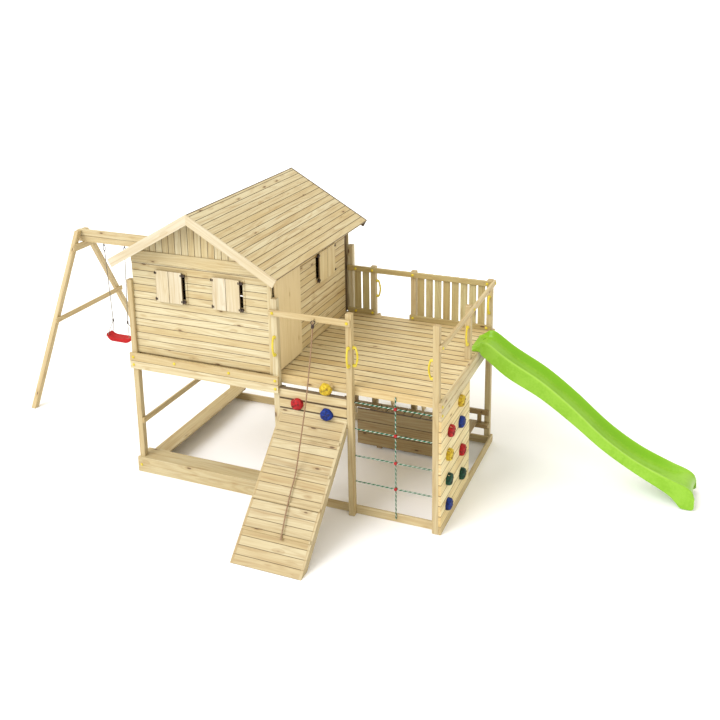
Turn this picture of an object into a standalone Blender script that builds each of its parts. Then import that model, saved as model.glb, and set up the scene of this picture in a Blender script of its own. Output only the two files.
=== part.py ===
"""A wooden playhouse on posts, with a deck, a ramp, a climbing wall, a net, a slide and a swing.

The origin is the middle of the front left post's foot. X runs along the front to the right,
Y runs from the front to the back, Z is up. Sizes are in metres.
"""

import math

import bmesh
import bpy
from mathutils import Matrix, Vector

# Timber and fits
POST = 0.068
BOARD = 0.028
THIN_BOARD = 0.019
FASCIA_HEIGHT = 0.094
RAIL_HEIGHT = 0.066
FIT = 0.0003
BITE = 0.002
CHAMFER = 0.004
GROOVE = 0.006
GROOVE_DEPTH = 0.004

# Bays between the centres of the posts
HOUSE_WIDTH = 1.820
RAMP_BAY = 0.857
NET_BAY = 0.947
DEPTH = 2.050
SIDE_POST_Y = 1.131
LADDER_OFFSET = 0.305
LADDER_BAY = 0.535
LADDER_RUN = 0.520
LADDER_SIDE = 0.095
LADDER_TREADS = 5
TREAD_INSET = 0.010

# Heights above the ground
DECK_TOP = 1.500
HOUSE_POST_TOP = 2.380
DECK_POST_TOP = 2.325
RAIL_POST_TOP = 2.132
HAND_RAIL_TOP = 2.125
TOP_BAR_Z = 2.200
WALL_TOP = 2.600
GIRT_HEIGHT = 0.137

# Deck
DECK_BOARD = 0.115
DECK_GAP = 0.0075
DECK_THICK = 0.021
DECK_SETTING = 0.001
JOIST_WIDTH = 0.045
JOIST_HEIGHT = 0.067
BEARER_HEIGHT = 0.095
JOIST_SPACING = 0.46
BALUSTER_WIDTH = 0.084
BALUSTER_PITCH = 0.1095
BALUSTER_TRIM = 0.006
EYE_X = 2.305
EYE_REACH = 0.028
EYE_DROP = 0.020
EYE_RADIUS = 0.005
EYE_HEIGHT = 0.036

# House
SIDING_PITCH = 0.083
WALL_SETBACK = 0.004
SIDE_WALL_INSET = 0.007
SIDE_WALL_BACK = 0.100
CORNER_BATTEN = 0.045
ROOF_PITCH = math.radians(30.1)
RIDGE_Z = 3.260
ROOF_SLOPE = 1.205
ROOF_BOARD_PITCH = 0.083
EAVE_FRONT = 0.186
EAVE_BACK = 0.192
RAFTER = 0.045
RAFTER_HEAD = 0.08
RAFTER_FOOT = 0.34
BARGE_HEIGHT = 0.100
BARGE_THICK = 0.018
DOOR_WIDTH = 0.586
DOOR_HEIGHT = 1.095
DOOR_THICK = 0.025
DOOR_STAND_OFF = 0.0115
DOOR_FOOT_GAP = 0.008
DOOR_LAP = 0.035
DOOR_SET = 0.005
DOOR_GAP = 0.006

# Windows: each has two leaves hung on blocks that stand proud of the wall
LEAF_WIDTH = 0.1675
SIDE_LEAF_WIDTH = 0.2195
LEAF_HEIGHT = 0.365
LEAF_BOTTOM = 2.175
LEAF_THICK = 0.018
LEAF_GAP = 0.003
LEAF_STAND_OFF = 0.022
WINDOW_1_X = 0.366
WINDOW_2_X = 1.086
SIDE_WINDOW_Y = 1.126
WINDOW_LAP = 0.012
WINDOW_GAP = 0.022
STILE = 0.024
STILE_PROUD = 0.006
HINGE_BLOCK = 0.014
HINGE_BLOCK_HEIGHT = 0.026
HINGE_INSET = 0.018

# Ramp and climbing
RAMP_TOP_Z = 1.095
RAMP_RUN = 1.170
RAMP_BOARD_PITCH = 0.0935
RAMP_THICK = 0.018
STRINGER_DEPTH = 0.077
STRINGER_WIDTH = 0.028
CLEAT_WIDTH = 0.030
CLEAT_HEIGHT = 0.018
CLEATS_ALONG = (0.34, 0.66, 1.00, 1.35)
CLIMB_BOARDS = ((1.268, 1.388), (1.158, 1.260), (1.030, 1.150))
BATTEN_TRIM = 0.010
CLIMB_WALL_LENGTH = 1.034
CLIMB_WALL_BOARD = 0.121
ROCK_WIDTH = 0.135
ROCK_HEIGHT = 0.125
ROCK_DEPTH = 0.050
DECK_ROCK = (2.410, 1.452)
RAMP_ROCKS = ((2.070, 1.225), (2.415, 1.162))
WALL_ROCKS = (
    (0.619, 1.236),
    (0.640, 0.979),
    (0.255, 1.065),
    (0.679, 0.624),
    (0.202, 0.818),
    (0.689, 0.327),
    (0.199, 0.533),
    (0.195, 0.244),
)

# Ground frame, sand pit and bench
GROUND_BEAM = 0.095
SEAT_WIDTH = 0.228
SEAT_THICK = 0.022
SIDE_SEAT_WIDTH = 0.205
PIT_HEIGHT = 0.165
MID_RAIL_Z = 0.620
BENCH_FRONT_Y = 1.395
BENCH_FRONT_TOP = 0.505
BENCH_FRONT_LIFT = 0.036
BENCH_LEFT = 2.150
BENCH_SEAT_Z = 0.300
BENCH_SLAT = 0.100
BENCH_SLAT_PITCH = 0.115
BENCH_RAIL_Z = 0.380
BENCH_BEARING = 0.060

# Slide
SLIDE_FROM_BACK = 0.488
SLIDE_WIDTH = 0.450
SLIDE_WALL = 0.006
SLIDE_RIM = 0.030
SLIDE_FLARE = 0.022
RIM_KNOTS = (
    (0.000, 1.5205),
    (0.064, 1.572),
    (0.090, 1.589),
    (0.165, 1.580),
    (0.403, 1.430),
    (0.772, 1.239),
    (1.135, 0.977),
    (1.492, 0.681),
    (1.842, 0.465),
    (2.184, 0.326),
    (2.400, 0.262),
    (2.490, 0.215),
)
SKIRT_DEPTHS = (0.020, 0.067, 0.125, 0.170, 0.195, 0.185, 0.165, 0.135, 0.125, 0.150, 0.175, 0.200)
FLOOR_DEPTHS = (0.012, 0.058, 0.074, 0.082, 0.100, 0.105, 0.105, 0.105, 0.105, 0.100, 0.085, 0.060)

# Swing
SWING_BEAM_LENGTH = 2.370
SWING_BEAM_BOTTOM = 2.010
SWING_BEAM_HEIGHT = 0.165
SWING_LEG_INSET = 0.017
SWING_SPREAD = 1.284
SWING_TIE_HEIGHT = 0.095
SWING_BRACE_Z = 1.030
SWING_X = -1.809
SWING_TOP_HALF = 0.175
SWING_FOOT_HALF = 0.125
SWING_PIVOT_DROP = 0.022
SWING_SEAT_Z = 0.560
SEAT_LENGTH = 0.430
SEAT_DEPTH = 0.165
SEAT_RISE = 0.060
SEAT_FLAT = 0.120
SEAT_SHELL = 0.018
ROPE_RADIUS = 0.006
SWIVEL_RADIUS = 0.010

# Net and climbing rope
NET_ROPE_RADIUS = 0.008
NET_HEIGHTS = (0.400, 0.705, 1.020, 1.325)
NET_X = 3.169
CLIMB_ROPE_RADIUS = 0.008
CLIMB_ROPE_KNOTS = (
    (2.305, -0.0900, 2.2148),
    (2.302, -0.1150, 2.0500),
    (2.294, -0.1700, 1.7600),
    (2.284, -0.2450, 1.4400),
    (2.274, -0.3300, 1.1600),
    (2.268, -0.4200, 0.9150),
    (2.266, -0.5150, 0.6950),
    (2.270, -0.6200, 0.5850),
    (2.282, -0.7400, 0.4730),
    (2.300, -0.8600, 0.3600),
    (2.324, -0.9940, 0.2350),
)

# Handles: the post that each is on, the way it faces and the height of its foot
HANDLE_LENGTH = 0.245
HANDLE_STAND_OFF = 0.052
HANDLE_RADIUS = 0.012
HANDLES = (
    ("handle_ramp_left", "house_front", "FRONT", 1.731),
    ("handle_ramp_right", "ramp_right", "FRONT", 1.731),
    ("handle_deck", "ramp_right", "RIGHT", 1.731),
    ("handle_front_right", "front_right", "LEFT", 1.722),
    ("handle_slide_near", "side_middle", "FRONT", 1.665),
    ("handle_slide_far", "back_right", "FRONT", 1.700),
    ("handle_ladder", "ladder_left", "RIGHT", 1.720),
)
FACINGS = {"FRONT": (0, -1), "RIGHT": (1, 0), "LEFT": (-1, 0)}

# Places worked out from the sizes above
HALF = POST / 2
RAMP_LEFT_X = HOUSE_WIDTH
RAMP_RIGHT_X = HOUSE_WIDTH + RAMP_BAY
RIGHT_X = RAMP_RIGHT_X + NET_BAY
LADDER_LEFT_X = HOUSE_WIDTH + LADDER_OFFSET
LADDER_RIGHT_X = LADDER_LEFT_X + LADDER_BAY
FRONT_FACE = -HALF
BEHIND_FRONT = HALF + FIT
BEFORE_BACK = DEPTH - HALF - FIT
BACK_FACE = DEPTH + HALF
SIDE_PLANE = RIGHT_X + HALF + FIT
ROOF_RISE = math.sin(ROOF_PITCH)
ROOF_RUN = math.cos(ROOF_PITCH)
HOUSE_MIDDLE = HOUSE_WIDTH / 2
WALL_LEFT = HALF + FIT
WALL_RIGHT = HOUSE_WIDTH - HALF - FIT
WALL_BOTTOM = DECK_TOP + 0.005


def clear_scene():
    for item in list(bpy.data.objects):
        bpy.data.objects.remove(item)


def material(name, colour, roughness, metallic=0.0):
    made = bpy.data.materials.new(name)
    made.use_nodes = True
    shader = made.node_tree.nodes["Principled BSDF"]
    shader.inputs["Base Color"].default_value = (*colour, 1.0)
    shader.inputs["Roughness"].default_value = roughness
    shader.inputs["Metallic"].default_value = metallic
    return made


def place(name, bm, finish, location=(0, 0, 0), smooth=False):
    """An object in the scene from a bmesh, with outward faces and its finish."""
    bmesh.ops.recalc_face_normals(bm, faces=bm.faces)
    mesh = bpy.data.meshes.new(name)
    bm.to_mesh(mesh)
    bm.free()
    if smooth:
        mesh.shade_smooth()
        mesh.set_sharp_from_angle(angle=math.radians(35))
    mesh.materials.append(finish)
    item = bpy.data.objects.new(name, mesh)
    item.location = location
    bpy.context.scene.collection.objects.link(item)
    return item


def add_box(bm, low, high, chamfer=0.0):
    """A box between two corners, with all its edges chamfered if asked."""
    low, high = Vector(low), Vector(high)
    size = high - low
    made = bmesh.ops.create_cube(bm, size=1.0)["verts"]
    bmesh.ops.scale(bm, vec=size, verts=made)
    bmesh.ops.translate(bm, vec=(low + high) / 2, verts=made)
    if chamfer:
        edges = list({edge for vert in made for edge in vert.link_edges})
        bmesh.ops.bevel(bm, geom=edges, offset=chamfer, segments=1, affect="EDGES")


def box_shape(name, boxes, finish, chamfer=0.0):
    bm = bmesh.new()
    for low, high in boxes:
        add_box(bm, low, high, chamfer)
    return place(name, bm, finish)


def extrude_profile(bm, points, start, end, to_world):
    """A closed profile of (a, b) points, extruded along the third axis from start to end."""
    near = [bm.verts.new(to_world(a, b, start)) for a, b in points]
    far = [bm.verts.new(to_world(a, b, end)) for a, b in points]
    bm.faces.new(near)
    bm.faces.new(list(reversed(far)))
    count = len(points)
    for i in range(count):
        j = (i + 1) % count
        bm.faces.new((near[j], near[i], far[i], far[j]))


def profile_shape(name, points, start, end, to_world, finish):
    bm = bmesh.new()
    extrude_profile(bm, points, start, end, to_world)
    return place(name, bm, finish)


def grooved_outline(length, thick, seams, depth=GROOVE_DEPTH, width=GROOVE):
    """A board panel's section: its length along a, its face at b = thick, with a V at each seam."""
    points = [(0.0, 0.0), (length, 0.0), (length, thick)]
    for seam in sorted(seams, reverse=True):
        points.append((seam + width / 2, thick))
        points.append((seam, thick - depth))
        points.append((seam - width / 2, thick))
    points.append((0.0, thick))
    return points


def even_seams(length, pitch):
    count = int((length - pitch / 3) / pitch)
    return [pitch * (i + 1) for i in range(count)]


def combine(base, others, operation="UNION"):
    """Joins the other shapes to the base, or cuts them from it, and takes them away."""
    for other in others:
        modifier = base.modifiers.new(other.name, "BOOLEAN")
        modifier.operation = operation
        modifier.solver = "EXACT"
        modifier.object = other
    bpy.context.view_layer.update()
    graph = bpy.context.evaluated_depsgraph_get()
    shape = bpy.data.meshes.new_from_object(base.evaluated_get(graph))
    finish = base.data.materials[0]
    base.modifiers.clear()
    base.data = shape
    shape.materials.clear()
    shape.materials.append(finish)
    for other in others:
        bpy.data.objects.remove(other)
    return base


def cut_above(item, point, normal):
    """Cuts away what lies on the normal's side of a plane."""
    size = 12.0
    bm = bmesh.new()
    bmesh.ops.create_cube(bm, size=size)
    normal = Vector(normal)
    turn = normal.to_track_quat("Z", "X").to_matrix().to_4x4()
    centre = Vector(point) + normal * size / 2
    bmesh.ops.transform(bm, matrix=Matrix.Translation(centre) @ turn, verts=bm.verts)
    combine(item, [place("half_space", bm, None)], "DIFFERENCE")


def tube(name, points, radius, finish, resolution=2):
    """A round bar or rope along a list of points, with closed ends."""
    curve = bpy.data.curves.new(name, "CURVE")
    curve.dimensions = "3D"
    curve.bevel_depth = radius
    curve.bevel_resolution = resolution
    curve.use_fill_caps = True
    spline = curve.splines.new("POLY")
    spline.points.add(len(points) - 1)
    for spot, point in zip(spline.points, points):
        spot.co = (*point, 1.0)
    curve.materials.append(finish)
    item = bpy.data.objects.new(name, curve)
    bpy.context.scene.collection.objects.link(item)
    return item


def tube_mesh(name, points, radius, finish, resolution=2):
    """The same tube as a mesh, ready to be joined to others."""
    item = tube(name, points, radius, finish, resolution)
    bpy.context.view_layer.update()
    graph = bpy.context.evaluated_depsgraph_get()
    mesh = bpy.data.meshes.new_from_object(item.evaluated_get(graph))
    bpy.data.objects.remove(item)
    bm = bmesh.new()
    bm.from_mesh(mesh)
    bmesh.ops.remove_doubles(bm, verts=bm.verts, dist=1e-6)
    return place(name, bm, finish, smooth=True)


def smooth_route(knots, steps):
    """Points on a smooth curve through the knots, steps of them between each pair."""
    knots = [Vector(knot) for knot in knots]
    ends = [2 * knots[0] - knots[1], *knots, 2 * knots[-1] - knots[-2]]
    route = []
    for a, b, c, d in zip(ends, ends[1:], ends[2:], ends[3:]):
        for i in range(steps):
            t = i / steps
            pull = 2 * b + (c - a) * t + (2 * a - 5 * b + 4 * c - d) * t * t
            route.append((pull + (3 * b - a - 3 * c + d) * t * t * t) / 2)
    route.append(knots[-1])
    return route


def along_x(a, b, c):
    """Profile (y, z), extruded along X."""
    return (c, a, b)


def along_y(a, b, c):
    """Profile (x, z), extruded along Y."""
    return (a, c, b)


# Posts and rails


def post(name, x, y, top, finish, foot=0.0):
    bm = bmesh.new()
    add_box(bm, (-HALF, -HALF, 0), (HALF, HALF, top - foot), CHAMFER)
    return place(name, bm, finish, (x, y, foot))


def make_posts(wood):
    post("post_front_left", 0, 0, HOUSE_POST_TOP, wood)
    post("post_house_front", RAMP_LEFT_X, 0, HOUSE_POST_TOP, wood)
    post("post_ramp_right", RAMP_RIGHT_X, 0, DECK_POST_TOP, wood)
    post("post_front_right", RIGHT_X, 0, DECK_POST_TOP, wood)
    post("post_back_left", 0, DEPTH, HOUSE_POST_TOP, wood)
    post("post_house_back", HOUSE_WIDTH, DEPTH, HOUSE_POST_TOP, wood)
    post("post_ladder_left", LADDER_LEFT_X, DEPTH, RAIL_POST_TOP, wood)
    post("post_ladder_right", LADDER_RIGHT_X, DEPTH, RAIL_POST_TOP, wood)
    post("post_back_right", RIGHT_X, DEPTH, RAIL_POST_TOP, wood)
    post("post_side_middle", RIGHT_X, SIDE_POST_Y, RAIL_POST_TOP, wood, DECK_TOP + FIT)


def double_board(name, bottom, height, low, high, to_world, finish):
    """Two boards stacked edge on edge: the seam shows as a V on both faces."""
    seam = bottom + height
    points = [
        (low, bottom),
        (high, bottom),
        (high, seam - GROOVE / 2),
        (high - GROOVE_DEPTH, seam),
        (high, seam + GROOVE / 2),
        (high, bottom + 2 * height),
        (low, bottom + 2 * height),
        (low, seam + GROOVE / 2),
        (low + GROOVE_DEPTH, seam),
        (low, seam - GROOVE / 2),
    ]
    start, end, axis = to_world
    return profile_shape(name, points, start, end, axis, finish)


def make_fascias(wood):
    front_low = DECK_TOP + 0.005 - 2 * FASCIA_HEIGHT
    double_board(
        "fascia_front",
        front_low,
        FASCIA_HEIGHT,
        FRONT_FACE - FIT - BOARD,
        FRONT_FACE - FIT,
        (-HALF - BOARD / 2, RAMP_LEFT_X + HALF, along_x),
        wood,
    )
    side_low = DECK_TOP - 2 * FASCIA_HEIGHT - 0.006
    double_board(
        "fascia_side",
        side_low,
        FASCIA_HEIGHT + 0.003,
        SIDE_PLANE,
        SIDE_PLANE + BOARD,
        (FRONT_FACE, BACK_FACE, along_y),
        wood,
    )


def make_rails(wood, dark):
    low = HAND_RAIL_TOP - RAIL_HEIGHT
    box_shape(
        "side_rail",
        [((SIDE_PLANE, FRONT_FACE, low), (SIDE_PLANE + BOARD, BACK_FACE, HAND_RAIL_TOP))],
        wood,
        CHAMFER,
    )
    bar_front = FRONT_FACE - FIT - BOARD
    bar = box_shape(
        "top_bar",
        [
            (
                (RAMP_LEFT_X - HALF - BOARD / 2, bar_front, TOP_BAR_Z),
                (RAMP_RIGHT_X + HALF - 0.005, FRONT_FACE - FIT, TOP_BAR_Z + RAIL_HEIGHT),
            )
        ],
        wood,
        CHAMFER,
    )
    eye = eye_hook("eye", EYE_X, bar_front, TOP_BAR_Z + EYE_HEIGHT, dark)
    combine(bar, [eye])


def eye_hook(name, x, face, z, finish):
    """A hook screwed into the front of the bar: a shank with a hanging loop."""
    out = face - EYE_REACH
    route = [(x, face + BITE * 4, z), (x, out, z), (x, out, z - EYE_DROP)]
    return tube_mesh(name, route, EYE_RADIUS, finish)


def make_back_railing(wood):
    rail_back = BEFORE_BACK
    rail_front = rail_back - BOARD
    low = HAND_RAIL_TOP - RAIL_HEIGHT
    left_start = HOUSE_WIDTH - HALF
    left_end = LADDER_LEFT_X + HALF - 0.003
    right_start = LADDER_RIGHT_X - HALF - 0.010
    right_end = RIGHT_X + HALF - FIT
    lower = DECK_TOP + FIT
    top = box_shape(
        "back_railing",
        [((left_start, rail_front, low), (right_end, rail_back, HAND_RAIL_TOP))],
        wood,
        CHAMFER,
    )
    lower_rails = box_shape(
        "lower_rails",
        [
            ((left_start, rail_front, lower), (left_end, rail_back, lower + RAIL_HEIGHT)),
            ((right_start, rail_front, lower), (right_end, rail_back, lower + RAIL_HEIGHT)),
        ],
        wood,
        CHAMFER,
    )
    width, pitch = BALUSTER_WIDTH, BALUSTER_PITCH
    boards = []
    for start, end in (
        (HOUSE_WIDTH + HALF, LADDER_LEFT_X - HALF),
        (LADDER_RIGHT_X + HALF, RIGHT_X - HALF),
    ):
        count = int((end - start) / pitch)
        first = (start + end - (count - 1) * pitch - width) / 2
        for i in range(count):
            x = first + i * pitch
            boards.append(
                (
                    (x, rail_back - BITE, lower + BALUSTER_TRIM),
                    (x + width, rail_back + THIN_BOARD, HAND_RAIL_TOP - BALUSTER_TRIM),
                )
            )
    combine(top, [lower_rails, box_shape("balusters", boards, wood)])


# Deck


def make_deck(wood, rock_finish):
    """Boards along X on joists along Y, held by bearers behind the posts."""
    start, end = -HALF, RIGHT_X - HALF
    board_top = DECK_TOP - DECK_SETTING
    board_low = board_top - DECK_THICK
    joist_top = board_low + BITE
    joist_low = joist_top - JOIST_HEIGHT
    front = BEHIND_FRONT
    back = BEFORE_BACK
    pitch = DECK_BOARD + DECK_GAP
    boards = []
    y = front + BOARD + DECK_GAP / 2
    while y < back - DECK_BOARD / 2:
        boards.append(((start, y, board_low), (end + BITE, min(y + DECK_BOARD, back), board_top)))
        y += pitch
    deck = box_shape("deck", boards, wood)
    bearer_low = DECK_TOP - BEARER_HEIGHT
    front_bearer = box_shape(
        "front_bearer",
        [((start, front, bearer_low), (RIGHT_X + HALF, front + BOARD, DECK_TOP))],
        wood,
    )
    back_bearer = box_shape(
        "back_bearer",
        [((start, back - BOARD, bearer_low), (RIGHT_X - HALF, back, joist_top))],
        wood,
    )
    side_bearer = box_shape(
        "side_bearer",
        [((end, front + BITE, DECK_TOP - POST), (RIGHT_X + HALF, back, DECK_TOP))],
        wood,
    )
    count = round((end - start) / JOIST_SPACING)
    step = (end - start - JOIST_WIDTH) / count
    joists = []
    for i in range(count):
        x = start + i * step
        low = (x, front + BOARD - BITE, joist_low)
        joists.append((low, (x + JOIST_WIDTH, back - BOARD + BITE, joist_top)))
    others = [front_bearer, back_bearer, side_bearer, box_shape("joists", joists, wood)]
    others.append(rock("deck_rock", (DECK_ROCK[0], front, DECK_ROCK[1]), "FRONT", rock_finish))
    combine(deck, others)


# House walls


def wall_clear_of_roof(item, lowest=0.0):
    """Trims a wall to the underside of both roof slopes."""
    drop = THIN_BOARD / ROOF_RUN + FIT * 2 + lowest
    for side in (-1, 1):
        normal = (side * ROOF_RISE, 0, ROOF_RUN)
        cut_above(item, (HOUSE_MIDDLE, 0, RIDGE_Z - drop), normal)


def gable_wall(name, outer, facing, openings, wood, corner):
    """A front or back wall: lying boards, a wide girt, and standing boards in the gable."""
    height = WALL_TOP - WALL_BOTTOM
    inner = outer - facing * THIN_BOARD
    seams = even_seams(height, SIDING_PITCH)

    def lying(a, b, c):
        return (c, inner + facing * b, WALL_BOTTOM + a)

    wall = profile_shape(
        name, grooved_outline(height + BITE, THIN_BOARD, seams), WALL_LEFT, WALL_RIGHT, lying, wood
    )
    girt_face = outer + facing * 0.008
    girt_low, girt_high = sorted((inner, girt_face))
    girt = box_shape(
        "girt",
        [((WALL_LEFT, girt_low, WALL_TOP), (WALL_RIGHT, girt_high, WALL_TOP + GIRT_HEIGHT))],
        wood,
    )
    width = WALL_RIGHT - WALL_LEFT
    first = HOUSE_MIDDLE - WALL_LEFT - SIDING_PITCH / 2
    standing_seams = sorted(
        first + i * SIDING_PITCH
        for i in range(-12, 14)
        if GROOVE < first + i * SIDING_PITCH < width - GROOVE
    )

    def standing(a, b, c):
        return (WALL_LEFT + a, inner + facing * b, c)

    gable = profile_shape(
        "gable",
        grooved_outline(width, THIN_BOARD, standing_seams),
        WALL_TOP + GIRT_HEIGHT - BITE,
        RIDGE_Z,
        standing,
        wood,
    )
    parts = [girt, gable]
    if corner:
        low_y, high_y = sorted((inner + facing * BITE, inner - facing * RAFTER))
        clear = HALF + SIDE_WALL_INSET + THIN_BOARD + FIT
        battens = [
            ((clear, low_y, WALL_BOTTOM), (clear + RAFTER, high_y, WALL_TOP)),
            ((HOUSE_WIDTH - clear - RAFTER, low_y, WALL_BOTTOM), (HOUSE_WIDTH - clear, high_y, WALL_TOP)),
        ]
        parts.append(box_shape("inner_battens", battens, wood))
    if corner:
        face_low, face_high = sorted((outer - facing * BITE * 3, outer + facing * 0.010))
        strip = (
            (WALL_RIGHT - CORNER_BATTEN, face_low, WALL_BOTTOM),
            (WALL_RIGHT, face_high, WALL_TOP - FIT),
        )
        parts.append(box_shape("corner_strip", [strip], wood))
    for x in openings:
        parts.append(stile(x, outer, facing, wood))
    combine(wall, parts)
    for x in openings:
        combine(wall, [hinge_blocks("hinge_blocks", x, outer, facing, wood)])
    if openings:
        combine(wall, [window_cutter(x, outer) for x in openings], "DIFFERENCE")
    wall_clear_of_roof(wall)
    return wall


def leaf_span(leaf):
    return 2 * leaf + LEAF_GAP


def hinge_heights():
    low = LEAF_BOTTOM + HINGE_INSET
    high = LEAF_BOTTOM + LEAF_HEIGHT - HINGE_INSET - HINGE_BLOCK_HEIGHT
    return (low, high)


def hinge_blocks(name, x, outer, facing, wood):
    """Four blocks beside a front window, which carry the leaves clear of the wall."""
    face = outer + facing * (LEAF_STAND_OFF + LEAF_THICK)
    low_y, high_y = sorted((outer - facing * GROOVE_DEPTH * 2, face))
    right = x + leaf_span(LEAF_WIDTH) + FIT
    boxes = []
    for z in hinge_heights():
        top = z + HINGE_BLOCK_HEIGHT
        boxes.append(((x - FIT - HINGE_BLOCK, low_y, z), (x - FIT, high_y, top)))
        boxes.append(((right, low_y, z), (right + WINDOW_GAP + HINGE_BLOCK, high_y, top)))
    return box_shape(name, boxes, wood)


def stile(x, outer, facing, wood):
    """The upright strip beside a front window's gap, which the hinge blocks cross to."""
    start = x + leaf_span(LEAF_WIDTH) + FIT + WINDOW_GAP
    low_y, high_y = sorted((outer - facing * GROOVE_DEPTH * 2, outer + facing * STILE_PROUD))
    low = (start, low_y, LEAF_BOTTOM - BITE)
    high = (start + STILE, high_y, LEAF_BOTTOM + LEAF_HEIGHT + BITE)
    return box_shape("stile", [(low, high)], wood)


def window_cutter(x, outer):
    """The hole behind a pair of leaves, which shows as a gap at their right."""
    low, high = window_heights()
    end = x + leaf_span(LEAF_WIDTH) + FIT + WINDOW_GAP
    corners = ((x + WINDOW_LAP, outer - RAFTER, low), (end, outer + RAFTER, high))
    return box_shape("window_cutter", [corners], None)


def window_heights():
    """The hole lies between the hinge blocks."""
    low, high = hinge_heights()
    return (low + HINGE_BLOCK_HEIGHT + FIT, high - FIT)


def side_wall(name, outer, facing, with_door, wood):
    """A wall under an eave, inside the posts, with a doorway and a window on the deck's side."""
    inner = outer - facing * THIN_BOARD
    start = THIN_BOARD - WALL_SETBACK + FIT
    end = DEPTH - start
    siding_end = end - SIDE_WALL_BACK if with_door else end
    drop = THIN_BOARD / ROOF_RUN + FIT * 2
    reach = abs(outer - HOUSE_MIDDLE)
    height = RIDGE_Z - reach * math.tan(ROOF_PITCH) - drop - WALL_BOTTOM
    seams = even_seams(height, SIDING_PITCH)

    def lying(a, b, c):
        return (inner + facing * b, c, WALL_BOTTOM + a)

    outline = grooved_outline(height, THIN_BOARD, seams)
    wall = profile_shape(name, outline, start, siding_end, lying, wood)
    back_low, back_high = sorted((inner - facing * RAFTER / 2, inner + facing * BITE * 2))
    top = WALL_BOTTOM + height - 0.020
    battens = [((back_low, siding_end - RAFTER, WALL_BOTTOM), (back_high, end, top))]
    parts = [box_shape("back_batten", battens, wood)]
    if not with_door:
        return combine(wall, parts)
    jamb_back = outer - facing * GROOVE_DEPTH * 2
    jamb_face = outer + facing * (DOOR_STAND_OFF - FIT)
    face_low, face_high = sorted((jamb_back, jamb_face))
    door_start = BEHIND_FRONT + DOOR_SET
    door_end = door_start + DOOR_WIDTH
    jamb = DOOR_LAP
    door_top = WALL_BOTTOM + DOOR_FOOT_GAP + DOOR_HEIGHT
    frame = [((face_low, door_end - jamb, WALL_BOTTOM), (face_high, door_end + BITE * 2, door_top))]
    parts.append(box_shape("door_frame", frame, wood))
    parts.append(side_hinge_blocks(outer, facing, wood))
    combine(wall, parts)
    doorway = (
        (outer - RAFTER, door_start - DOOR_GAP, WALL_BOTTOM - BOARD),
        (outer + RAFTER, door_end - jamb, door_top - jamb),
    )
    cutters = [box_shape("doorway", [doorway], None)]
    low_z, high_z = window_heights()
    low = (outer - RAFTER, SIDE_WINDOW_Y - FIT - WINDOW_GAP, low_z)
    high_y = SIDE_WINDOW_Y + leaf_span(SIDE_LEAF_WIDTH) - WINDOW_LAP
    high = (outer + RAFTER, high_y, high_z)
    cutters.append(box_shape("side_window", [(low, high)], None))
    return combine(wall, cutters, "DIFFERENCE")


def side_hinge_blocks(outer, facing, wood):
    face = outer + facing * (LEAF_STAND_OFF + LEAF_THICK)
    low_x, high_x = sorted((outer - facing * GROOVE_DEPTH * 2, face))
    near = SIDE_WINDOW_Y - FIT
    far = SIDE_WINDOW_Y + leaf_span(SIDE_LEAF_WIDTH) + FIT
    boxes = []
    for z in hinge_heights():
        top = z + HINGE_BLOCK_HEIGHT
        boxes.append(((low_x, near - WINDOW_GAP - HINGE_BLOCK, z), (high_x, near, top)))
        boxes.append(((low_x, far, z), (high_x, far + HINGE_BLOCK, top)))
    return box_shape("side_hinge_blocks", boxes, wood)


def make_walls(wood):
    front_outer = -WALL_SETBACK
    gable_wall("wall_front", front_outer, -1, (WINDOW_1_X, WINDOW_2_X), wood, True)
    gable_wall("wall_back", DEPTH + WALL_SETBACK, 1, (), wood, False)
    side_wall("wall_right", HOUSE_WIDTH - HALF - SIDE_WALL_INSET, 1, True, wood)
    side_wall("wall_left", HALF + SIDE_WALL_INSET, -1, False, wood)


# Leaves and door


def leaf_shape(name, width, height, wood):
    """A shutter of two boards on the hinge's axis, which is its own origin."""
    bm = bmesh.new()
    add_box(bm, (0, 0, 0), (width, LEAF_THICK, height), 0.002)
    return place(name, bm, wood)


def hang(item, name, at, turn):
    """Puts a leaf on an empty that stands on its hinge's axis."""
    axis = bpy.data.objects.new(name + "_hinge", None)
    axis.location = at
    bpy.context.scene.collection.objects.link(axis)
    item.parent = axis
    item.rotation_euler = (0, 0, turn)


def make_leaves(wood):
    face = -WALL_SETBACK - LEAF_STAND_OFF - LEAF_THICK
    for label, x in (("left", WINDOW_1_X), ("right", WINDOW_2_X)):
        first = leaf_shape(f"shutter_{label}_a", LEAF_WIDTH, LEAF_HEIGHT, wood)
        hang(first, first.name, (x, face, LEAF_BOTTOM), 0)
        second = leaf_shape(f"shutter_{label}_b", LEAF_WIDTH, LEAF_HEIGHT, wood)
        hang(second, second.name, (x + leaf_span(LEAF_WIDTH), face, LEAF_BOTTOM), 0)
        second.location = (-LEAF_WIDTH, 0, 0)
    side_face = HOUSE_WIDTH - HALF - SIDE_WALL_INSET + LEAF_STAND_OFF + LEAF_THICK
    near = leaf_shape("shutter_side_a", SIDE_LEAF_WIDTH, LEAF_HEIGHT, wood)
    hang(near, near.name, (side_face, SIDE_WINDOW_Y, LEAF_BOTTOM), math.pi / 2)
    far = leaf_shape("shutter_side_b", SIDE_LEAF_WIDTH, LEAF_HEIGHT, wood)
    far_y = SIDE_WINDOW_Y + leaf_span(SIDE_LEAF_WIDTH)
    hang(far, far.name, (side_face, far_y, LEAF_BOTTOM), math.pi / 2)
    far.location = (0, -SIDE_LEAF_WIDTH, 0)


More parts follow.
